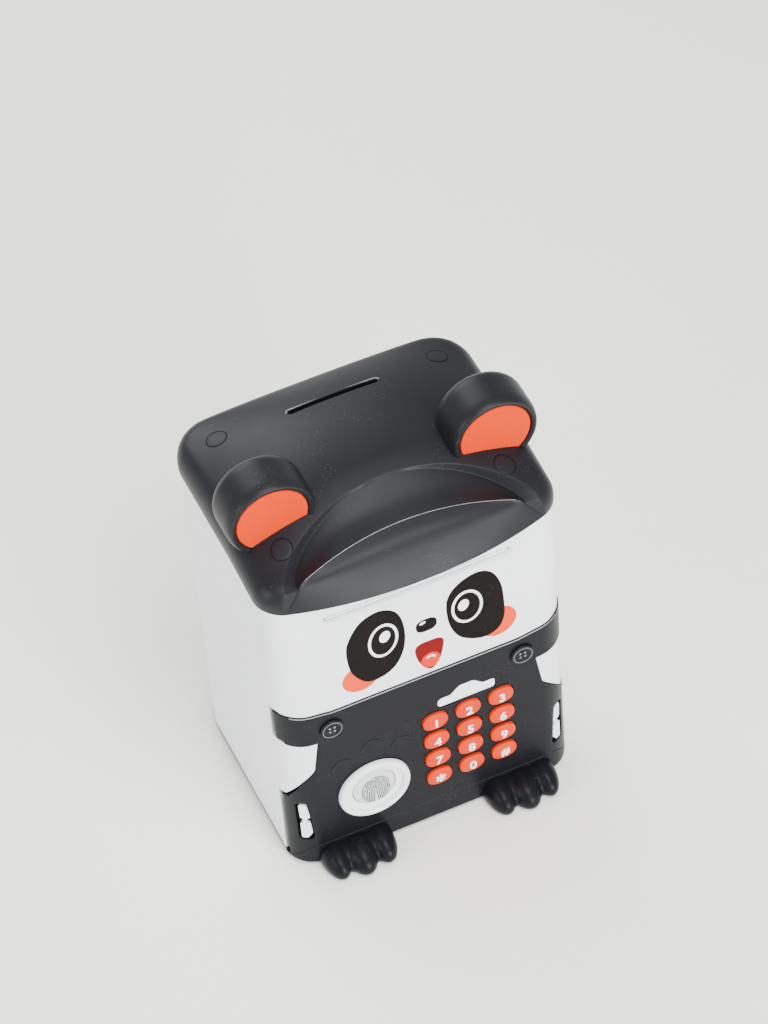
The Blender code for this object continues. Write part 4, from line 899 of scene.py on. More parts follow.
@dataclass
class Walls:
    """White shell of the body, with its door opening, note slot, speaker holes and slot shutter."""

    note_half: float = 41.0
    note_rise: float = 149.2
    note_height: float = 2.2
    speaker_rise: float = 72.0
    speaker_pitch: float = 6.5
    speaker_hole: float = 1.8
    slide_half: float = 29.6
    slide_top: float = 2.1
    foot_bevel: float = 0.25
    slot_flare: tuple[Point, ...] = ((1.2, -1.0), (1.2, -0.02), (0.95, 0.3), (0.3, 1.1), (0.0, 1.3),
                                     (0.0, 4.0))
    slot_end: float = 1.1
    slot_shadow_radius: float = 0.13

    def build(self, door: "Door", repeats: RepeatTree, beads: PathTree) -> None:
        """Make the walls and what is fixed in them.

        Args:
            door: the door, whose outline is cut from the front.
            repeats: makes the speaker's perforations.
            beads: makes the painted shadow line round the note slot.
        """
        outer, fine, inner = (FORM.outline(inset) for inset in (0.0, self.foot_bevel, FORM.wall))
        low = FORM.rise(1.0 + GAP)
        tops = [FORM.rise(FORM.rim(y) - 2 * GAP) for _, y in outer]
        rings = [
            [(x, y, low) for x, y in fine],
            [(x, y, low + self.foot_bevel) for x, y in outer],
            [(x, y, top) for (x, y), top in zip(outer, tops)],
            [(x, y, top) for (x, y), top in zip(inner, tops)],
            [(x, y, low) for x, y in inner],
        ]
        shell = store("bank_walls", tube(rings), WHITE_ABS)
        far = door.far_end + GAP
        upper = [(a, b) for a, b in offset(door.outline(door.far_end), GAP) if b > door.pocket_end - 4.0]
        trim(shell, FORM.wrapped([(far, -8.0)] + upper + [(-far, -8.0)], -2.0, FORM.wall + 2.0, 15))
        for lowest, highest in door.hinge_edges():
            trim(shell, prism(circle(*door.hinge, door.barrel + 2 * GAP, 48), "Z",
                              FORM.rise(lowest - GAP), FORM.rise(highest + GAP)))
        middle = FORM.rise(self.note_rise)
        rings = []
        for grow, level in self.slot_flare:
            line = stadium(0.0, middle, self.note_half - self.slot_end, self.note_height / 2 + grow)
            rings.append([(a, FORM.front_y + level, b) for a, b in line])
        trim(shell, loft(rings))
        cover = rectangle(-self.slide_half, self.slide_half, FORM.rise(-1.0), FORM.rise(self.slide_top))
        trim(shell, prism(cover, "Y", FORM.back_y - 4.0, FORM.back_y + 1.0))
        self._perforate(shell, repeats)
        hang(shell, "case", "body_shell", "body_shell")
        flap = store("note_slot_shutter", prism(stadium(0.0, middle, self.note_half - 1.6, 0.85), "Y",
                                                FORM.front_y + 1.0, FORM.front_y + 2.2), WHITE_ABS)
        hang(flap, "case", "body_shell")
        # painted shadow: a grey line inside the slot stands in for the shade in its recess
        line = [(a, FORM.front_y + 0.98, b) for a, b in stadium(0.0, middle, self.note_half - 1.5, 0.95)]
        hang(beads.bead("note_slot_shadow_line", [(line, True)], self.slot_shadow_radius, TRIM_GREY_AND_PAINTED_LIGHT, 8), "case",
             "body_shell")

    def _perforate(self, shell: bpy.types.Object, repeats: RepeatTree) -> None:
        """Cut the speaker's ring of holes and its middle hole."""
        hole = prism(circle(0.0, 0.0, self.speaker_hole, 24), "Y", -5.0, 3.0)
        centre = (0.0, FORM.back_y, FORM.rise(self.speaker_rise))
        ring = repeats.copies("speaker_holes", hole, 6, centre, (self.speaker_pitch,) * 2, WHITE_ABS)
        outward(ring)
        modifier = shell.modifiers.new("holes", "BOOLEAN")
        modifier.operation, modifier.solver, modifier.object = "DIFFERENCE", "EXACT", ring
        settle(shell)
        bpy.data.objects.remove(ring)
        trim(shell, prism(circle(0.0, centre[2], self.speaker_hole, 24), "Y", FORM.back_y - 5.0,
                          FORM.back_y + 3.0))


@dataclass
class Lid:
    """Charcoal dome that is swept down to a peak in front, with its coin slot and screw caps."""

    front_radius: float = 14.0
    overhang: float = 0.7
    skirt: float = 2.0
    edge_rise: float = 7.5
    edge_run: float = 6.0
    crown: float = 17.0
    roof: float = 2.4
    visor_reach: float = 60.0
    visor_end: float = 57.0
    crease_end: Place = (47.5, -48.5, 173.0)
    crease_centre: Point = (-41.5, 178.5)
    arch_end: Place = (50.0, -49.5, 170.3)
    arch_y: float = -23.5
    band: float = 5.2
    band_least: float = 0.5
    swell_across: Point = (66.0, 2.6)
    swell_along: Point = (53.0, 2.1)
    scoop: float = 1.2
    bulge: float = 3.0
    columns: int = 56
    corner_steps: int = 10
    dome_steps: int = 40
    coin_half: float = 20.0
    coin_breadth: float = 3.0
    coin_y: float = 25.7
    caps: tuple[Point, ...] = ((-48.9, -32.6), (48.9, -32.6), (-49.2, 32.3), (49.2, 32.3))
    cap_radius: float = 4.25
    cap_levels: tuple[Point, ...] = ((1.0, -3.0), (1.0, 0.02), (0.94, 0.10), (0.6, 0.10), (0.2, 0.10))
    line_radius: float = 0.16

    def inside(self, x: float, y: float) -> float:
        """How far inside the lid's plan outline a place is."""
        radius = self.front_radius if y < 0 else FORM.back_radius
        over_x = abs(x) - FORM.half - self.overhang + radius
        over_y = abs(y) - FORM.depth / 2 - self.overhang + radius
        outside = math.hypot(max(over_x, 0.0), max(over_y, 0.0))
        return radius - outside - min(max(over_x, over_y), 0.0)

    def height(self, x: float, y: float) -> float:
        """Rise of the dome at a plan place."""
        run = min(max(self.inside(x, y), 0.0) / self.edge_run, 1.0)
        edge = self.skirt + self.edge_rise * math.sqrt(1 - (1 - run) ** 2)
        across = 1 - min(abs(x) / self.swell_across[0], 1.0) ** self.swell_across[1]
        along = 1 - min(abs(y) / self.swell_along[0], 1.0) ** self.swell_along[1]
        return FORM.rim(FORM.plan(y)) + edge + self.crown * across * along

    def front(self, x: float) -> float:
        """Plan y of the lid's outline in front."""
        over = max(abs(x) - FORM.half - self.overhang + self.front_radius, 0.0)
        reach = math.sqrt(max(self.front_radius**2 - over**2, 0.0))
        return self.front_radius - FORM.depth / 2 - self.overhang - reach

    def back(self, x: float) -> float:
        """Plan y of the lid's outline at the back."""
        radius = FORM.back_radius
        over = max(abs(x) - FORM.half - self.overhang + radius, 0.0)
        return FORM.depth / 2 + self.overhang - radius + math.sqrt(max(radius**2 - over**2, 0.0))

    def shoulder(self, s: float, c: float) -> Vector:
        """The line where the peak's shoulder leaves the dome."""
        x = (self.arch_end[0] + self.band * abs(s) ** 3) * s
        y = self.arch_end[1] + (self.arch_y + self.band_least - self.arch_end[1]) * c
        return Vector((x, y, self.height(x, y)))

    def crease(self, s: float) -> Vector:
        """The line along the peak's top, where the scoop starts."""
        y = self.crease_end[1] + (self.crease_centre[0] - self.crease_end[1]) * (1 - s * s)
        z = self.crease_end[2] + (self.crease_centre[1] - self.crease_end[2]) * (1 - s * s)
        return Vector((self.crease_end[0] * s, y, z))

    def column(self, s: float) -> list[Vector]:
        """Points up one column of the peak, from its lower edge to the shoulder.

        Args:
            s: the column's place, from -1 to 1 across.

        Returns:
            The points.
        """
        c = math.sqrt(max(1 - s * s, 0.0))
        end_y = self.front(self.visor_end)
        edge_y = end_y - (self.visor_reach + end_y) * (1 - abs(s) ** 2.2)
        edge = Vector((self.visor_end * s, edge_y, FORM.rim_front))
        crease = self.crease(s)
        arch_y = self.arch_end[1] + (self.arch_y - self.arch_end[1]) * c
        top = self.height(0.0, self.arch_y) - 0.3
        arch = Vector((self.arch_end[0] * s, arch_y, self.arch_end[2] + (top - self.arch_end[2]) * c**2.3))
        bulge = Vector((0.0, -0.67, 0.74)) * self.bulge * c
        low = edge.lerp(crease, 0.33) + bulge * 0.62
        high = edge.lerp(crease, 0.7) + bulge * 0.9
        scoop = crease.lerp(arch, 0.5) - Vector((0.0, 0.0, self.scoop * c))
        face = spline((edge, low, high, crease), closed=False, steps=5)
        return face + spline((crease, scoop, arch), closed=False, steps=6)[1:] + [self.shoulder(s, c)]

    def surface(self, bm: bmesh.types.BMesh, place: Callable[[Vector], Vector]) -> list[bmesh.types.BMVert]:
        """Draw the lid's upper surface.

        Args:
            bm: the mesh to draw in.
            place: turns a plan point with its rise into a world place.

        Returns:
            The lower edge, as a closed loop.
        """
        turns = [math.pi * (i / self.columns - 0.5) for i in range(self.columns + 1)]
        visor = [self.column(math.sin(turn)) for turn in turns]
        reach = FORM.half + self.overhang - self.visor_end
        shares = [math.sin(math.pi / 2 * i / self.corner_steps) for i in range(self.corner_steps + 1)]
        fronts = [Vector((self.visor_end + reach * share, self.front(self.visor_end + reach * share), 0.0))
                  for share in shares]
        mirror = [Vector((-point.x, point.y, 0.0)) for point in reversed(fronts)]
        starts = mirror + [column[-1] for column in visor] + fronts
        steps = [0.5 - 0.5 * math.cos(math.pi * i / self.dome_steps) for i in range(self.dome_steps + 1)]
        rows = []
        for share in steps:
            row = []
            for start in starts:
                y = start.y + (self.back(start.x) - start.y) * share
                row.append(bm.verts.new(place(Vector((start.x, y, self.height(start.x, y))))))
            rows.append(row)
        for low, high in zip(rows, rows[1:]):
            bridge(bm, low, high, closed=False)
        corner = len(fronts)
        columns = [[bm.verts.new(place(point)) for point in column[:-1]] for column in visor]
        for column, end in zip(columns, rows[0][corner : corner + len(visor)]):
            column.append(end)
        for left, right in zip(columns, columns[1:]):
            for i in range(len(left) - 1):
                bm.faces.new((left[i], right[i], right[i + 1], left[i + 1]))
        top = rows[0][corner + len(visor) :] + [row[-1] for row in rows[1:]] + list(reversed(rows[-1][:-1]))
        top += [row[0] for row in reversed(rows[:-1])] + rows[0][1:corner]
        side_x = fronts[-1].x
        sides = [self.front(side_x) + (self.back(side_x) - self.front(side_x)) * share for share in steps[1:]]
        path = fronts + [Vector((side_x, y, 0.0)) for y in sides]
        path += [Vector((start.x, self.back(start.x), 0.0)) for start in reversed(starts[:-1])]
        path += [Vector((-side_x, y, 0.0)) for y in reversed(sides[:-1])] + mirror
        path = path[: len(top)]
        edge = [columns[-1][0]]
        for point in path[1:-1]:
            edge.append(bm.verts.new(place(Vector((point.x, point.y, FORM.rim(FORM.plan(point.y)))))))
        edge.append(columns[0][0])
        bridge(bm, edge, top, closed=False)
        bm.faces.new([top[0]] + columns[-1])
        bm.faces.new([top[-1]] + columns[0])
        return edge + [column[0] for column in columns[1:-1]]

    def outer_place(self, point: Vector, grow: float = 0.0) -> Vector:
        """World place on the lid's outer surface, or on one a little larger."""
        scale = 1 + grow / FORM.half
        return Vector((point.x * scale, FORM.plan(point.y * scale), FORM.rise(point.z + grow)))

    def inner_place(self, point: Vector) -> Vector:
        """World place of the matching point on the lid's hollow."""
        x = point.x * (FORM.half - FORM.wall - GAP) / (FORM.half + self.overhang)
        y = point.y * (FORM.depth / 2 - FORM.wall - GAP) / (FORM.depth / 2 + self.overhang)
        y = max(y, GAP + FORM.wall - FORM.depth / 2)
        rim = FORM.rim(FORM.plan(point.y))
        peak = self.height(0.0, 2.0) - FORM.rim_back
        return Vector((x, FORM.plan(y), FORM.rise(rim + (point.z - rim) * (peak - self.roof) / peak)))

    def cutter(self, grow: float = GAP) -> bmesh.types.BMesh:
        """A closed copy of the lid, a little larger, that trims what stands on it."""
        bm = bmesh.new()
        loop = self.surface(bm, lambda point: self.outer_place(point, grow))
        lower = [bm.verts.new((v.co.x, v.co.y, FORM.rise(FORM.rim_front - 20.0))) for v in loop]
        bridge(bm, loop, lower)
        bm.faces.new(lower)
        return bm

    def on_dome(self, points: Outline, lift: float) -> list[Vector]:
        """World places of plan points on the dome, lifted a little."""
        return [Vector((x, FORM.plan(y), FORM.rise(self.height(x, y) + lift))) for x, y in points]

    def build(self, beads: PathTree) -> None:
        """Make the dome, its coin slot's lip, the crease's bead that paints its highlight, and the screw
        caps.

        Args:
            beads: runs the lip, the crease's painted highlight line and the cap rings.
        """
        bm = bmesh.new()
        bridge(bm, self.surface(bm, self.outer_place), self.surface(bm, self.inner_place))
        dome = store("lid_dome", bm, LID_ABS)
        slot = stadium(0.0, FORM.plan(self.coin_y), self.coin_half - self.coin_breadth / 2,
                       self.coin_breadth / 2)
        trim(dome, prism(slot, "Z", FORM.rise(150.0), FORM.rise(220.0)))
        hang(dome, "case", "top_lid", "top_lid")
        rim = stadium(0.0, self.coin_y, self.coin_half - 1.4, self.coin_breadth / 2 + 0.45)
        back = sorted((point for point in rim if point[1] > self.coin_y - 0.2), key=lambda point: point[0])
        hang(beads.bead("coin_slot_lip", [(self.on_dome(back, 0.0), False)], 0.42, LIP_GREY_AND_CREASE_HIGHLIGHT), "case",
             "top_lid")
        # painted highlight: a glossy light grey bead along the crease stands in for light caught on its sharp
        # edge
        line = [self.outer_place(self.crease(-0.97 + 1.94 * i / 60)) for i in range(61)]
        hang(beads.bead("visor_crease_highlight_bead", [(line, False)], self.line_radius, LIP_GREY_AND_CREASE_HIGHLIGHT, 8), "case",
             "top_lid")
        rings, caps = [], bmesh.new()
        for x, y in self.caps:
            rings.append((self.on_dome(circle(x, y, self.cap_radius + 0.1, 48), -0.02), True))
            self._cap(caps, x, y)
        names = [f"lid_screw_{row}_{side}" for row in ("front", "back") for side in ("left", "right")]
        hang(store("lid_screw_caps", caps, LID_ABS), "case", "lid_screw_front_left", *names)
        hang(beads.bead("lid_cap_rings", rings, self.line_radius, INK_BLACK, 8), "case", "top_lid")

    def _cap(self, bm: bmesh.types.BMesh, x: float, y: float) -> None:
        """Add one screw cap that follows the dome."""
        loops = skin(bm, [self.on_dome(circle(x, y, self.cap_radius * share, 48), lift)
                          for share, lift in self.cap_levels])
        bm.faces.new(loops[0])
        bm.faces.new(loops[-1])


@dataclass
class Ears:
    """Two round ears, each a thick ring round an orange disc, cut to the lid."""

    reach: float = 48.8
    rise: float = 188.0
    radius: float = 19.1
    front: float = -26.0
    back: float = -4.0
    inset: float = 15.4
    sink: float = 2.4
    lip: float = 1.7
    fall: float = 5.2
    back_round: float = 7.0

    def profile(self) -> Outline:
        """Section of the ring as (radius, world y), from the disc's seat round to the back."""
        front, back, seat = FORM.plan(self.front), FORM.plan(self.back), self.inset + GAP
        bend = [(seat, front + self.sink), (seat, front + 1.0)]
        for i in range(1, 9):
            turn = math.pi / 2 * i / 8
            bend.append((seat + self.lip * (1 - math.cos(turn)), front + 1.0 - math.sin(turn)))
        for i in range(1, 13):
            turn = math.pi / 2 * i / 12
            out = seat + self.lip + (self.radius - seat - self.lip) * math.sin(turn)
            bend.append((out, front + self.fall * (1 - math.cos(turn))))
        for i in range(11):
            turn = math.pi / 2 * i / 10
            out = self.radius - self.back_round * (1 - math.cos(turn)) * 0.95
            bend.append((out, back - self.back_round * (1 - math.sin(turn))))
        return bend

    def build(self, lid: Lid) -> None:
        """Make both ears and their discs.

        Args:
            lid: the lid that the ears stand on.
        """
        middle = FORM.rise(self.rise)
        for side in Side:
            x = side.value * self.reach
            ring = store(f"ear_ring_{side.word}", turned("Y", x, middle, self.profile(), count=112), LID_ABS)
            trim(ring, lid.cutter())
            hang(ring, "case", f"ear_{side.word}", f"ear_{side.word}")
            face = FORM.plan(self.front) + self.sink - GAP
            profile = [(self.inset, face), (self.inset, face - 1.2), (self.inset - 0.4, face - 1.55),
                       (self.inset * 0.6, face - 1.6), (self.inset * 0.2, face - 1.6)]
            disc = store(f"ear_disc_{side.word}", turned("Y", x, middle, profile), EAR_ORANGE)
            trim(disc, lid.cutter())
            hang(disc, "case", f"ear_inset_{side.word}", f"ear_inset_{side.word}")


@dataclass
class Base:
    """Dark tray under the body, the plinth below the door and the two front paws."""

    plinth_rise: float = 9.4
    plinth_drop: float = 1.0
    plinth_proud: float = 0.5
    plinth_skin: float = 4.0
    flange: float = 1.0
    thick: float = 3.2
    slide_half: float = 29.3
    slide_top: float = 2.1
    slide_start: float = -6.3
    hatch_half: float = 26.3
    hatch_span: Point = (-4.35, 40.35)
    screw_place: Point = (52.0, 6.0)
    screw_head: float = 3.3
    screw_bore: float = 1.6
    paw_x: float = 38.3
    toe_gaps: tuple[float, ...] = (-10.6, 0.0, 10.4)
    toe_radii: tuple[float, ...] = (6.3, 7.2, 6.0)
    toe_reaches: tuple[float, ...] = (15.2, 17.0, 14.6)
    toe_length: float = 13.0
    toe_half_height: float = 7.4
    web_gaps: tuple[float, ...] = (-5.3, 5.2)
    web_halves: Place = (6.6, 9.6, 6.4)
    web_reach: float = 2.6
    paw_sink: float = 9.0
    far: float = 90.0
    voxel: float = 0.45

    def plinth(self, door: "Door") -> Outline:
        """The plinth's outline on the front skin."""
        half = [
            (57.0, self.plinth_rise, 5.0),
            (66.0, self.flange + GAP, 0.0),
            (door.far_end, self.flange - 0.2, 0.0),
            (door.far_end, 0.2, 0.0),
            (60.0, -self.plinth_drop, 6.0),
        ]
        return rounded(list(reversed(half)) + [(-a, b, radius) for a, b, radius in half])

    def build(self, door: "Door") -> None:
        """Make the tray with its plinth, and both paws.

        Args:
            door: the door, whose ends the plinth matches.
        """
        step = FORM.wall + GAP
        rings = [[(x, y, FORM.rise(level)) for x, y in FORM.outline(inset)] for inset, level in
                 ((0.3, 0.0), (0.0, 0.3), (0.0, self.flange), (step, self.flange), (step, self.thick))]
        tray = store("base_plinth", loft(rings), CHARCOAL_ABS)
        slide = rectangle(-self.slide_half, self.slide_half, FORM.rise(-2.0), FORM.rise(self.slide_top))
        trim(tray, prism(slide, "Y", FORM.plan(self.slide_start), FORM.back_y + 5.0))
        hatch = rectangle(-self.hatch_half, self.hatch_half, *(FORM.plan(y) for y in self.hatch_span))
        trim(tray, prism(hatch, "Z", FORM.rise(0.5), FORM.rise(self.thick + 2.0)))
        for side in Side:
            x, y = side.value * self.screw_place[0], FORM.plan(self.screw_place[1])
            for radius, count, top in ((self.screw_head, 32, 1.2), (self.screw_bore, 24, 5.0)):
                trim(tray, prism(circle(x, y, radius, count), "Z", FORM.rise(-2.0), FORM.rise(top)))
        trim(tray, FORM.wrapped(self.plinth(door), -self.plinth_proud, self.plinth_skin, 15), "UNION")
        hang(tray, "case", "base_tray", "base_tray")
        for side in Side:
            self._paw(side)

    def _paw(self, side: Side) -> None:
        """Make one paw: three long toes that run together, flat under the sole and behind."""
        toes = bmesh.new()
        for gap, radius, reach in zip(self.toe_gaps, self.toe_radii, self.toe_reaches):
            centre = (side.value * (self.paw_x + gap), FORM.front_y - reach + self.toe_length, FORM.rise(1.0))
            self._ball(toes, centre, (radius, self.toe_length, self.toe_half_height))
        for gap in self.web_gaps:
            centre = (side.value * (self.paw_x + gap), FORM.front_y - self.web_reach, FORM.rise(0.6))
            self._ball(toes, centre, self.web_halves)
        paw = store(f"paw_{side.word}", toes, CHARCOAL_ABS)
        remesh = paw.modifiers.new("melt", "REMESH")
        remesh.mode, remesh.voxel_size = "VOXEL", self.voxel * MM
        relax = paw.modifiers.new("relax", "SMOOTH")
        relax.factor, relax.iterations = 0.5, 30
        settle(paw)
        cuts = ((-self.far, -30.0, 0.02),
                (FORM.front_y - self.plinth_proud - GAP, FORM.rise(-self.plinth_drop - GAP), 60.0),
                (FORM.front_y + self.paw_sink, -9.0, 9.0))
        for start, low, high in cuts:
            trim(paw, prism(rectangle(-self.far, self.far, start, self.far), "Z", low, high))
        hang(paw, "case", f"foot_{side.word}", f"foot_{side.word}")

    @staticmethod
    def _ball(bm: bmesh.types.BMesh, centre: Sequence[float], halves: Sequence[float]) -> None:
        """Add an ellipsoid."""
        turn = Matrix.Translation(centre) @ Matrix.Diagonal((*halves, 1.0))
        bmesh.ops.create_uvsphere(bm, u_segments=40, v_segments=24, radius=1.0, matrix=turn)


@dataclass
class Door:
    """Dark panel shaped like dungarees, with its hinge barrels, studs, buckles, window and back."""

    skin: float = 2.4
    proud: float = 0.5
    strap: float = 93.0
    strap_end: float = 97.2
    strap_low: float = 76.4
    pocket_end: float = 42.4
    notch: float = 49.3
    far_end: float = 70.152
    hinge_end: float = 67.202
    hinge: Point = (-61.9414, -34.9199)
    barrel: float = 2.4
    pin: float = 1.0
    stud_x: float = 43.2
    stud_rise: float = 83.0
    stud_radius: float = 5.3
    stud_hole: float = 2.8
    window_x: float = 17.6
    window_half: float = 13.2
    buckle: float = 58.5
    buckle_rises: Point = (15.0, 39.0)
    low_edge: float = 1.6
    edge_highlight_radius: float = 0.3
    cover_depth: float = 15.0
    screw_x: float = 36.4
    screw_rises: Point = (18.0, 73.8)
    toe_tops: tuple[Place, ...] = ((-40.0, 55.4, 4.4), (-26.5, 60.4, 4.8), (-13.5, 55.8, 4.4))

    def half_outline(self, end: float) -> list[Place]:
        """Right-hand half of the door's outline from bottom to top, as (along, rise, corner radius)."""
        return [
            (57.0, 9.7, 5.0),
            (min(66.3, end - 1.0), self.low_edge, 0.0),
            (end, self.low_edge, 0.0),
            (end, self.pocket_end, 0.0),
            (66.0, self.pocket_end + 0.5, 2.8),
            (57.5, self.pocket_end + 10.6, 4.0),
            (self.notch + 2.6, self.pocket_end + 16.6, 5.0),
            (self.notch, self.strap_low, 0.6),
            (63.0, self.strap_low + 1.6, 6.0),
            (end, self.strap_low + 3.0, 0.0),
            (end, self.strap_end, 0.0),
            (60.0, self.strap_end - 1.0, 12.0),
            (42.0, self.strap, 14.0),
        ]

    def outline(self, left_end: float) -> Outline:
        """The door's whole outline, with its left end where it is asked."""
        left = [(-a, b, radius) for a, b, radius in reversed(self.half_outline(left_end))]
        return rounded(self.half_outline(self.far_end) + left)

    def barrels(self) -> tuple[Point, Point]:
        """Heights of the two hinge barrels."""
        return ((3.8, self.pocket_end - 1.0), (self.strap_low + 3.6, self.strap_end - 1.6))

    def hinge_edges(self) -> tuple[Point, Point]:
        """Heights between which the pocket's and the strap's hinged ends reach."""
        return ((self.low_edge, self.pocket_end), (self.strap_low + 3.0, self.strap_end))

    def window(self, grow: float = 0.0) -> Outline:
        """Outline of the indicator window, a bar with a hump."""
        hump, high = self.window_half * 0.55, 74.0
        right = [(self.window_half, 68.2, 1.6), (self.window_half, high, 2.2), (hump, high, 2.0),
                 (hump * 0.45, high + 3.8, 3.0)]
        corners = [(self.window_x + a, b, radius) for a, b, radius in right]
        corners += [(self.window_x - a, b, radius) for a, b, radius in reversed(right)]
        return offset(rounded(corners, 6), grow)

    def buckle_outline(self, side: Side, grow: float = 0.0) -> Outline:
        """Recess that a buckle sits in."""
        low, high = self.buckle_rises
        corners = [(self.buckle - 3.1, low, 1.6), (self.buckle + 3.1, low, 1.6),
                   (self.buckle + 3.5, high, 1.8), (self.buckle - 1.5, high, 1.8)]
        outline = rounded(corners, 6)
        if side is Side.LEFT:
            outline = [(-a, b) for a, b in reversed(outline)]
        return offset(outline, grow)

    def post_sweep(self) -> bmesh.types.BMesh:
        """The space that the fixed corner post fills, as seen from the turning door."""
        low, high, least = self.pocket_end + 0.1, self.strap_low + 3.2, 4.0
        profile = [(least, FORM.rise(low))]
        for height, along in sorted((b, a) for a, b in offset(self.outline(self.far_end), GAP)
                                    if -self.far_end < a < 0 and low + 0.1 < b < high - 0.1):
            x, y, _ = FORM.wrap(along, 0.0, height)
            reach = math.hypot(x - self.hinge[0], y - self.hinge[1]) + 1.6 * GAP
            profile.append((max(reach, least), FORM.rise(height)))
        profile.append((least, FORM.rise(high)))
        return turned("Z", *self.hinge, profile, count=48)

    def build(self, keys: "Keypad", scanner: "Scanner", beads: PathTree, repeats: RepeatTree) -> None:
        """Make the panel and what is fixed to it.

        Args:
            keys: the keypad, whose holes are cut.
            scanner: the scanner, whose hole is cut.
            beads: runs the strap's painted edge highlight and the paw mark.
            repeats: makes the studs' dots and the back's screws.
        """
        inner = self.skin - self.proud
        panel = store("dungaree_panel", FORM.wrapped(self.outline(self.hinge_end), -self.proud, inner),
                      CHARCOAL_ABS)
        front, back = FORM.front_y - 4.0, FORM.front_y + 6.0
        for side in Side:
            trim(panel, FORM.wrapped(self.buckle_outline(side, GAP), -2.0, 4.0, 15))
            stud = circle(side.value * self.stud_x, FORM.rise(self.stud_rise), self.stud_hole, 24)
            trim(panel, prism(stud, "Y", front, back))
        for _, x, z in keys.places():
            hole = oval(x, z, keys.width + 2 * keys.gap, keys.height + 2 * keys.gap)
            trim(panel, prism(hole, "Y", front, back))
        trim(panel, prism(circle(scanner.x, scanner.z, scanner.stem + GAP, 72), "Y", front, back))
        trim(panel, prism([(a, FORM.rise(b)) for a, b in self.window(GAP)], "Y", front, back))
        for low, high in self.barrels():
            trim(panel, prism(circle(*self.hinge, self.barrel, 40), "Z", FORM.rise(low), FORM.rise(high)),
                 "UNION")
        trim(panel, prism(circle(*self.hinge, self.pin + GAP, 24), "Z", -2.0,
                          FORM.rise(self.strap_end + 5.0)))
        trim(panel, self.post_sweep())
        hang(panel, "door", "door_panel", "door_panel")
        self._edge_lines(beads)
        self._studs(beads, repeats)
        self._buckles()
        pane = store("indicator_window", self._pane(), WINDOW_WHITE)
        hang(pane, "door", "indicator_lens", "indicator_lens")
        self._back_screws(repeats)

    def _pane(self) -> bmesh.types.BMesh:
        """The window's solid, with a softened front edge."""
        rings = []
        for grow, level in ((-0.7, -0.05), (-0.25, 0.1), (0.0, 0.5), (0.0, 3.2)):
            rings.append([(a, FORM.front_y + level, FORM.rise(b)) for a, b in self.window(grow)])
        return loft(rings)

    def _edge_lines(self, beads: PathTree) -> None:
        """A grey bead along the strap's top that paints the highlight of its bevel, and the paw mark over the
        scanner.
        """
        span = 60
        top = [(a, b) for a, b in self.outline(self.hinge_end) if b > self.strap - 1.0 and abs(a) < 66.0]
        top.sort()
        path = []
        for (a0, b0), (a1, b1) in zip(top, top[1:]):
            pieces = max(int(span * (a1 - a0) / 130.0), 1)
            path += [(a0 + (a1 - a0) * i / pieces, b0 + (b1 - b0) * i / pieces) for i in range(pieces)]
        line = [FORM.wrap(a, 0.05 - self.proud, b - 0.45) for a, b in path + [top[-1]]]
        # painted highlight: a light grey bead along the strap's top stands in for light on its bevel
        hang(beads.bead("strap_edge_highlight_bead", [(line, False)], self.edge_highlight_radius, TRIM_GREY_AND_PAINTED_LIGHT, 8), "door",
             "door_panel")
        paws = []
        for x, top_rise, radius in self.toe_tops:
            arc = [(x + radius * math.cos(t), top_rise + 0.9 * radius * math.sin(t)) for t in
                   (math.radians(-8.0 + 196.0 * i / 24) for i in range(25))]
            paws.append(([FORM.wrap(a, 0.1 - self.proud, b) for a, b in arc], False))
        hang(beads.bead("paw_mark_arcs", paws, 0.42, CHARCOAL_ABS), "door", "door_panel")

    def _studs(self, beads: PathTree, repeats: RepeatTree) -> None:
        """Round studs on the straps: a dished disc, a thin ring and four dots."""
        face = FORM.front_y - self.proud - GAP
        middle = FORM.rise(self.stud_rise)
        for side in Side:
            x = side.value * self.stud_x
            rim = self.stud_radius
            profile = [(1.2, face - 0.72), (3.3, face - 0.7), (3.7, face - 0.98), (rim - 0.7, face - 1.0),
                       (rim - 0.2, face - 0.8), (rim, face - 0.4), (rim, face), (2.5, face),
                       (2.5, FORM.front_y + 3.0)]
            stud = store(f"strap_stud_{side.word}", turned("Y", x, middle, profile, count=64), CHARCOAL_ABS)
            hang(stud, "door", f"strap_button_{side.word}", f"strap_button_{side.word}")
            ring = [(a, face - 0.93, b) for a, b in circle(x, middle, 4.2, 56)]
            hang(beads.bead(f"stud_ring_{side.word}", [(ring, True)], 0.16, TRIM_GREY_AND_PAINTED_LIGHT, 8), "door",
                 f"strap_button_{side.word}")
            dot = turned("Y", 0.0, 0.0, [(0.5, 0.25), (0.5, -0.1), (0.3, -0.26)], count=16)
            dots = repeats.copies(f"stud_dots_{side.word}", dot, 4, (x, face - 0.72, middle), (1.5, 1.5),
                                  TRIM_GREY_AND_PAINTED_LIGHT, math.pi / 4)
            hang(dots, "door", f"strap_button_{side.word}")

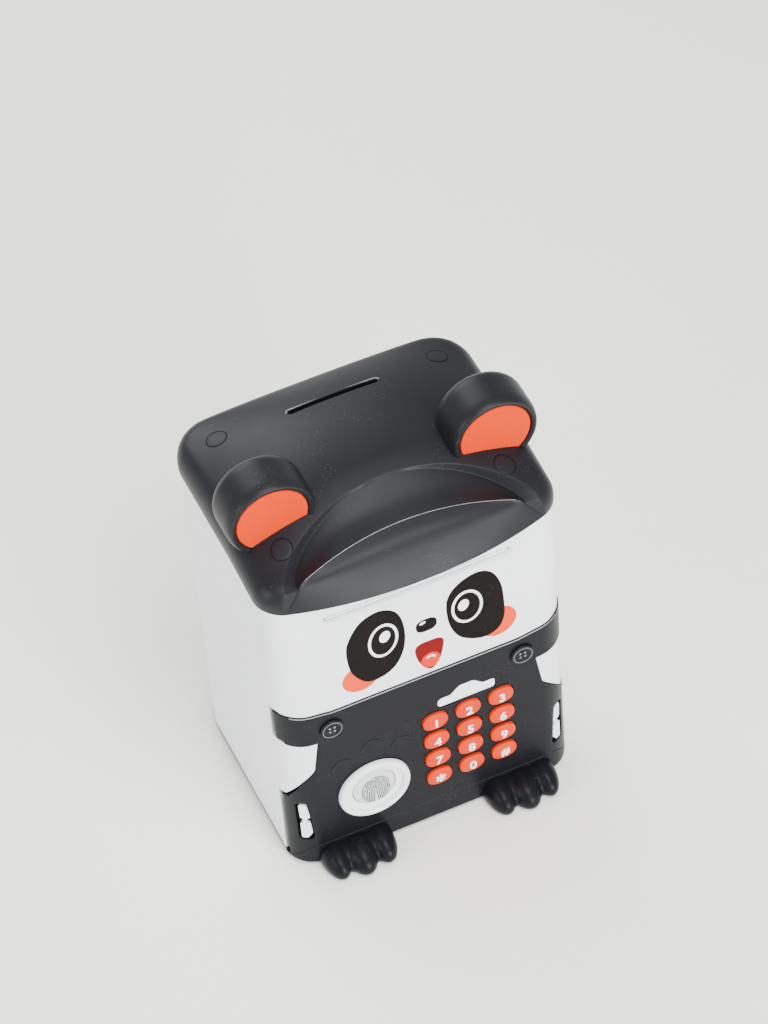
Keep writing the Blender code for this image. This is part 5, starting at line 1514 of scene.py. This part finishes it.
    def _buckles(self) -> None:
        """White buckles, each two blocks with a waist, on a dark plate that fills the recess."""
        for side in Side:
            base = store(f"buckle_plate_{side.word}", FORM.wrapped(self.buckle_outline(side), 1.3, 2.6, 15),
                         CHARCOAL_ABS)
            hang(base, "door", f"clasp_{side.word}", f"clasp_{side.word}")
            shapes = {
                "upper": (-0.25, [(56.3, 28.6, 1.0), (60.6, 28.9, 1.0), (61.0, 37.6, 1.2), (58.6, 38.2, 1.2),
                                  (57.3, 36.2, 1.0)]),
                "lower": (-0.25, [(57.9, 15.9, 1.2), (60.7, 15.7, 0.8), (60.8, 25.7, 0.9), (56.5, 25.9, 0.9),
                                  (55.9, 19.0, 1.6)]),
                "waist": (0.5, [(57.8, 25.2, 0.3), (59.9, 25.2, 0.3), (59.9, 29.4, 0.3), (57.8, 29.4, 0.3)]),
            }
            for word, (depth, corners) in shapes.items():
                line = rounded(corners, 6)
                if side is Side.LEFT:
                    line = [(-a, b) for a, b in reversed(line)]
                block = store(f"buckle_{word}_{side.word}", FORM.wrapped(line, depth, 1.25, 15), WHITE_ABS)
                hang(block, "door", f"clasp_{side.word}")

    def _back_screws(self, repeats: RepeatTree) -> None:
        """Four screws that hold the door's back cover."""
        profile = [(1.3, -3.0), (1.3, 0.02), (2.4, 0.02), (2.4, 0.4), (2.0, 0.75), (1.0, 0.95)]
        head = turned("Y", 0.0, 0.0, profile, count=24)
        low, high = self.screw_rises
        reach = (self.screw_x * math.sqrt(2), (high - low) / 2 * math.sqrt(2))
        centre = (0.0, FORM.front_y + self.cover_depth, FORM.rise((high + low) / 2))
        screws = repeats.copies("back_cover_screws", head, 4, centre, reach, STEEL, math.pi / 4)
        hang(screws, "door", "door_back_cover")


@dataclass
class Keypad:
    """Twelve crowned keys with raised white labels."""

    x: float = 17.4
    rise: float = 43.75
    pitch_x: float = 15.06
    pitch_z: float = 12.2
    width: float = 11.5
    height: float = 9.4
    gap: float = 0.35
    proud: float = 2.6
    label_size: float = 6.6
    names: tuple[str, ...] = ("1", "2", "3", "4", "5", "6", "7", "8", "9", "star", "0", "hash")
    signs: dict[str, str] = field(default_factory=lambda: {"star": "*", "hash": "#"})

    def places(self) -> list[tuple[str, float, float]]:
        """Each key's name, world x and world z."""
        found = []
        for i, name in enumerate(self.names):
            z = self.rise + self.pitch_z * (1.5 - i // 3)
            found.append((name, self.x + self.pitch_x * (i % 3 - 1), FORM.rise(z)))
        return found

    def build(self) -> None:
        """Make each key and its label."""
        for name, x, z in self.places():
            rings = []
            for share in (0.12, 0.35, 0.55, 0.7, 0.8, 0.88, 0.94, 0.98):
                drop = 1.15 * share**3.2
                line = oval(x, z, self.width * share, self.height * share)
                rings.append([(a, FORM.front_y - self.proud + drop, b) for a, b in line])
            for grow, level in ((0.0, 1.75 - self.proud), (0.0, 2.3), (1.2, 2.3), (1.2, 3.2)):
                line = oval(x, z, self.width + grow, self.height + grow)
                rings.append([(a, FORM.front_y + level, b) for a, b in line])
            hang(store(f"key_cap_{name}", loft(rings), KEY_ORANGE), f"key_{name}", f"key_{name}",
                 f"key_{name}")
            sign = self.signs.get(name, name)
            size = self.label_size * (1.5 if name == "star" else 1.0)

            def seat(a: float, b: float, out: float, x: float = x, z: float = z) -> Place:
                """A place on the flat of the label."""
                return (x + a, FORM.front_y - self.proud + 0.12 - out, z + b)

            hang(lettering(f"key_label_{name}", sign, size, seat, LABEL_WHITE, 0.4), f"key_{name}",
                 f"key_{name}")


@dataclass
class Scanner:
    """White dished ring round a grey touch pad with a whorl of ridges."""

    x: float = -27.3
    rise: float = 35.3
    ring: float = 16.2
    proud: float = 3.3
    stem: float = 12.6
    pad: float = 9.6
    ridge: float = 0.2
    whorl: Point = (6.9, 8.2)

    @property
    def z(self) -> float:
        """World height of the middle."""
        return FORM.rise(self.rise)

    def build(self, beads: PathTree) -> None:
        """Make the ring, the pad and its ridges.

        Args:
            beads: runs the ridges.
        """
        y, bore = FORM.front_y, self.pad + 0.35
        bowl = [(bore + (self.ring - 3.0 - bore) * t, y - 1.0 + (2.9 - self.proud) * t**1.6)
                for t in (0.0, 0.2, 0.4, 0.6, 0.8, 1.0)]
        lip = [(self.ring - 1.7 - 1.5 * math.cos(t), y - self.proud + 1.1 - 1.1 * math.sin(t)) for t in
               (math.pi * i / 12 for i in range(1, 12))]
        profile = [(bore, y + 1.2)] + bowl + lip
        profile += [(self.ring, y - self.proud + 1.5), (self.ring, y - 0.8), (self.stem, y - 0.8),
                    (self.stem, y + 3.2), (self.stem - 1.2, y + 3.2), (self.stem - 1.2, y + 1.2)]
        ring = store("scanner_ring", turned("Y", self.x, self.z, profile, hollow=True), WHITE_RING)
        hang(ring, "door", "pad_ring", "pad_ring")
        profile = [(3.0, y - 1.3), (self.pad - 1.2, y - 1.28), (self.pad - 0.5, y - 1.15),
                   (self.pad - 0.1, y - 0.9), (self.pad, y - 0.6), (self.pad, y + 1.6), (5.0, y + 1.6),
                   (5.0, y + 3.4)]
        pad = store("scanner_pad", turned("Y", self.x, self.z, profile), PAD_GREY)
        hang(pad, "fingerprint_pad", "fingerprint_pad", "fingerprint_pad")
        hang(beads.bead("scanner_ridges", self.ridges(y - 1.3), self.ridge, RIDGE_BLACK, 6),
             "fingerprint_pad", "fingerprint_pad")

    def ridges(self, y: float) -> list[tuple[list[Place], bool]]:
        """Arches that nest round a core, broken here and there, with tails that run down.

        Args:
            y: the pad's face.

        Returns:
            Each ridge's path, all open.
        """
        paths = []
        for ring in range(9):
            half, top = 0.45 + 0.82 * ring, 0.9 + 0.86 * ring
            arc = [(half * math.cos(t), top * math.sin(t)) for t in (math.radians(6 * i) for i in range(31))]
            tails = [step * 0.5 for step in range(1, 18)]
            right = [(half + 0.012 * step * step, -step) for step in reversed(tails)]
            left = [(-half - 0.012 * step * step, -step) for step in tails]
            gaps = {(7 * ring) % 23 + 14, (11 * ring) % 19 + 34}
            run: list[Place] = []
            for i, (a, b) in enumerate(right + arc + left):
                outside = math.hypot(a / self.whorl[0], (b + 0.6) / self.whorl[1]) > 1
                if outside or (ring > 0 and i in gaps):
                    if len(run) > 2:
                        paths.append((run, False))
                    run = []
                else:
                    run.append((self.x + 0.5 + a, y, self.z - 1.0 + b))
            if len(run) > 2:
                paths.append((run, False))
        return paths


@dataclass
class Face:
    """Printed panda face: each ink is a film on the front wall, one over another."""

    film: float = 0.04
    left_patch: tuple[Point, ...] = (
        (-33.2, 127.2), (-30.0, 135.5), (-25.2, 141.0), (-18.0, 143.0), (-11.6, 139.8), (-8.3, 132.9),
        (-7.3, 123.0), (-8.6, 113.5), (-12.4, 106.0), (-18.4, 102.3), (-25.1, 102.5), (-30.1, 108.2),
        (-32.7, 115.5))
    right_patch: tuple[Point, ...] = (
        (36.9, 121.0), (35.9, 131.5), (32.4, 140.0), (26.7, 143.6), (19.6, 142.2), (13.8, 137.5),
        (11.4, 130.4), (12.2, 118.5), (15.6, 109.5), (20.9, 104.6), (27.5, 102.2), (33.6, 104.4),
        (36.6, 111.0))
    mouth: tuple[Point, ...] = ((-3.6, 110.4), (-1.6, 112.8), (2.8, 113.2), (7.2, 112.8), (9.2, 110.6),
                                (8.6, 105.0), (6.6, 98.8), (3.0, 95.2), (-0.6, 98.6), (-3.0, 104.6))
    cheeks: tuple[tuple[float, ...], ...] = ((-28.0, 106.6, 8.3, 8.0), (33.6, 108.6, 8.4, 8.6))
    eyes: tuple[tuple[float, ...], ...] = ((-17.0, 124.3, 6.7, 9.9, -4.0), (20.5, 125.3, 7.0, 9.9, 4.0))
    iris_inset: Point = (1.25, 1.5)
    sparks: tuple[tuple[float, ...], ...] = ((-16.2, 126.3, 2.4, 3.3, -12.0), (18.9, 127.0, 2.4, 3.3, -12.0))
    nose: tuple[float, ...] = (2.2, 123.5, 9.4, 7.6)
    nose_spark: tuple[float, ...] = (0.6, 125.4, 1.5, 0.75, 16.0)
    tongue: tuple[float, ...] = (2.9, 101.0, 4.3, 4.6)
    smile: tuple[Place, ...] = ((101.6, 2.6, 2.4), (101.2, 1.9, 1.7))

    def _ink(self, name: str, outlines: Sequence[Outline], layer: int, finish: Finish) -> None:
        """Lay one ink on the wall.

        Args:
            name: the piece's name.
            outlines: closed outlines as (x, rise).
            layer: how many films lie under it.
            finish: the ink.
        """
        bm = bmesh.new()
        for outline in outlines:
            face = bm.faces.new([bm.verts.new((a, FORM.front_y + 0.02, FORM.rise(b))) for a, b in outline])
            bm.normal_update()
            new = bmesh.ops.triangulate(bm, faces=[face])["faces"]
            grown = bmesh.ops.extrude_face_region(bm, geom=new, use_keep_orig=True)["geom"]
            for element in grown:
                if isinstance(element, bmesh.types.BMVert):
                    element.co.y = FORM.front_y - self.film * (layer + 1)
        hang(store(name, bm, finish, smooth=False), "case", "body_shell")

    def build(self) -> None:
        """Lay every ink."""
        patches = [[tuple(p) for p in spline(points, closed=True)]
                   for points in (self.left_patch, self.right_patch)]
        self._ink("face_cheeks", [ellipse(*cheek) for cheek in self.cheeks], 0, INK_CHEEK)
        self._ink("face_patches", patches, 1, INK_BLACK)
        self._ink("face_eye_whites", [ellipse(*eye) for eye in self.eyes], 2, INK_WHITE)
        a, b = self.iris_inset
        blacks = [ellipse(x, z, half_a - a, half_b - b, lean) for x, z, half_a, half_b, lean in self.eyes]
        self._ink("face_eye_blacks", blacks, 3, INK_BLACK)
        self._ink("face_eye_sparks", [ellipse(*spark) for spark in self.sparks], 4, INK_WHITE)
        self._ink("face_nose", [oval(*self.nose, power=2.6)], 0, INK_BLACK)
        self._ink("face_nose_spark", [ellipse(*self.nose_spark)], 1, INK_WHITE)
        self._ink("face_mouth", [[tuple(p) for p in spline(self.mouth, closed=True)]], 0, INK_MOUTH)
        self._ink("face_tongue", [ellipse(*self.tongue)], 1, INK_TONGUE)
        turns = [math.radians(20 + 10 * i) for i in range(13)]
        outer, inner = ([(self.tongue[0] + half_a * math.cos(t), z + half_b * math.sin(t)) for t in turns]
                        for z, half_a, half_b in self.smile)
        self._ink("face_tongue_spark", [outer + list(reversed(inner))], 2, INK_WHITE)


@dataclass
class Fittings:
    """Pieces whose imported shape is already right, which only take their finish."""

    finishes: dict[Finish, tuple[str, ...]] = field(default_factory=lambda: {
        STEEL: ("base_screw", "door_hinge_pin", "drive_shaft", "feed_motor", "idler_shaft", "latch_keeper",
                "lock_bolt", "speaker"),
        DARK_INSIDE: ("battery_box", "coin_chute", "door_back_cover", "feeder_frame", "lock_housing"),
        RUBBER: ("drive_roller", "idler_roller", "key_mat", "rear_pad"),
        BOARD: ("keypad_board", "main_board"),
        CELL_WRAP: ("battery_1", "battery_2", "battery_3"),
        CHARCOAL_ABS: ("battery_cover",), GEAR_WHITE: ("drive_gear",), BRASS: ("motor_pinion",)})

    def dress(self) -> None:
        """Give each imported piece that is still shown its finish."""
        chosen = {start: finish for finish, starts in self.finishes.items() for start in starts}
        for name, node in sorted(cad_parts.items()):
            if node.hide_render:
                continue
            finish = next(found for start, found in chosen.items() if name.startswith(start))
            node.data.materials.clear()
            node.data.materials.append(finish.material())
            log.info("%s takes %s", name, finish.name)


@dataclass
class Studio:
    """Pale floor, soft light and the camera."""

    lean: float = 20.696
    tilt: float = 48.626
    roll: float = -5.079
    lens: float = 153.14
    shift: Place = (0.8545, -93.0744, -1885.671)
    floor_tone: Place = (0.99, 0.99, 0.93)
    world_tone: tuple[float, ...] = (0.95, 0.97, 1.0, 1.0)
    world_strength: float = 0.85
    lights: tuple[tuple[str, Place, float, float], ...] = (
        ("key_light", (230.0, -1200.0, 420.0), 640.0, 27.0),
        ("top_light", (60.0, -420.0, 1150.0), 520.0, 12.0),
        ("back_light", (-150.0, 900.0, 800.0), 700.0, 10.0),
        ("side_light", (-980.0, -150.0, 520.0), 520.0, 5.0))

    def build(self) -> None:
        """Make the floor, the lights, the world and the camera."""
        self._floor()
        self._world()
        for light in self.lights:
            self._light(*light)
        self._camera()

    def _floor(self) -> None:
        """A wide flat floor just under the paws."""
        bm = bmesh.new()
        bmesh.ops.create_grid(bm, x_segments=1, y_segments=1, size=4000.0)
        bmesh.ops.translate(bm, verts=bm.verts, vec=(0.0, 0.0, -0.05))
        finish = Finish("floor_pale_paper", self.floor_tone, 0.75, mottle=0.01, wear_and_highlight=0.0, grain_scale=300.0)
        store("studio_floor", bm, finish, smooth=False)

    def _world(self) -> None:
        """An even pale surround."""
        world = bpy.data.worlds.new("studio")
        world.use_nodes = True
        light = world.node_tree.nodes["Background"]
        light.inputs["Color"].default_value = self.world_tone
        light.inputs["Strength"].default_value = self.world_strength
        bpy.context.scene.world = world

    def _light(self, name: str, place: Sequence[float], size: float, power: float) -> None:
        """A square soft light that looks at the bank's middle."""
        lamp = bpy.data.lights.new(name, "AREA")
        lamp.energy, lamp.size = power, size * MM
        obj = bpy.data.objects.new(name, lamp)
        obj.location = Vector(place) * MM
        aim = Vector((0.0, FORM.mid_y, 100.0)) * MM - obj.location
        obj.rotation_euler = aim.to_track_quat("-Z", "Y").to_euler()
        bpy.context.scene.collection.objects.link(obj)

    def _camera(self) -> None:
        """The camera: turned round, tilted down and rolled a little."""
        a, e, r = (math.radians(value) for value in (self.lean, self.tilt, self.roll))
        look = Vector((math.sin(a) * math.cos(e), math.cos(a) * math.cos(e), -math.sin(e)))
        right = Vector((math.cos(a), -math.sin(a), 0.0))
        up = Vector((math.sin(a) * math.sin(e), math.cos(a) * math.sin(e), math.cos(e)))
        across = right * math.cos(r) + up * math.sin(r)
        rising = up * math.cos(r) - right * math.sin(r)
        turn = Matrix((across, rising, -look))
        place = -(turn.transposed() @ Vector(self.shift)) + Vector((0.0, FORM.mid_y, FORM.foot_lift))
        data = bpy.data.cameras.new("camera")
        data.lens, data.sensor_width = self.lens, 36.0
        camera = bpy.data.objects.new("camera", data)
        camera.matrix_world = Matrix.Translation(place * MM) @ turn.transposed().to_4x4()
        bpy.context.scene.collection.objects.link(camera)
        bpy.context.scene.camera = camera


def main() -> None:
    """Build every sub-assembly in order."""
    grain_group()
    edge_wear_and_highlight_group()
    beads, repeats = PathTree(), RepeatTree()
    door, keys, scanner, lid = Door(), Keypad(), Scanner(), Lid()
    Studio().build()
    Walls().build(door, repeats, beads)
    lid.build(beads)
    Ears().build(lid)
    Base().build(door)
    door.build(keys, scanner, beads, repeats)
    keys.build()
    scanner.build(beads)
    Face().build()
    Fittings().dress()


if __name__ == "__main__":
    main()
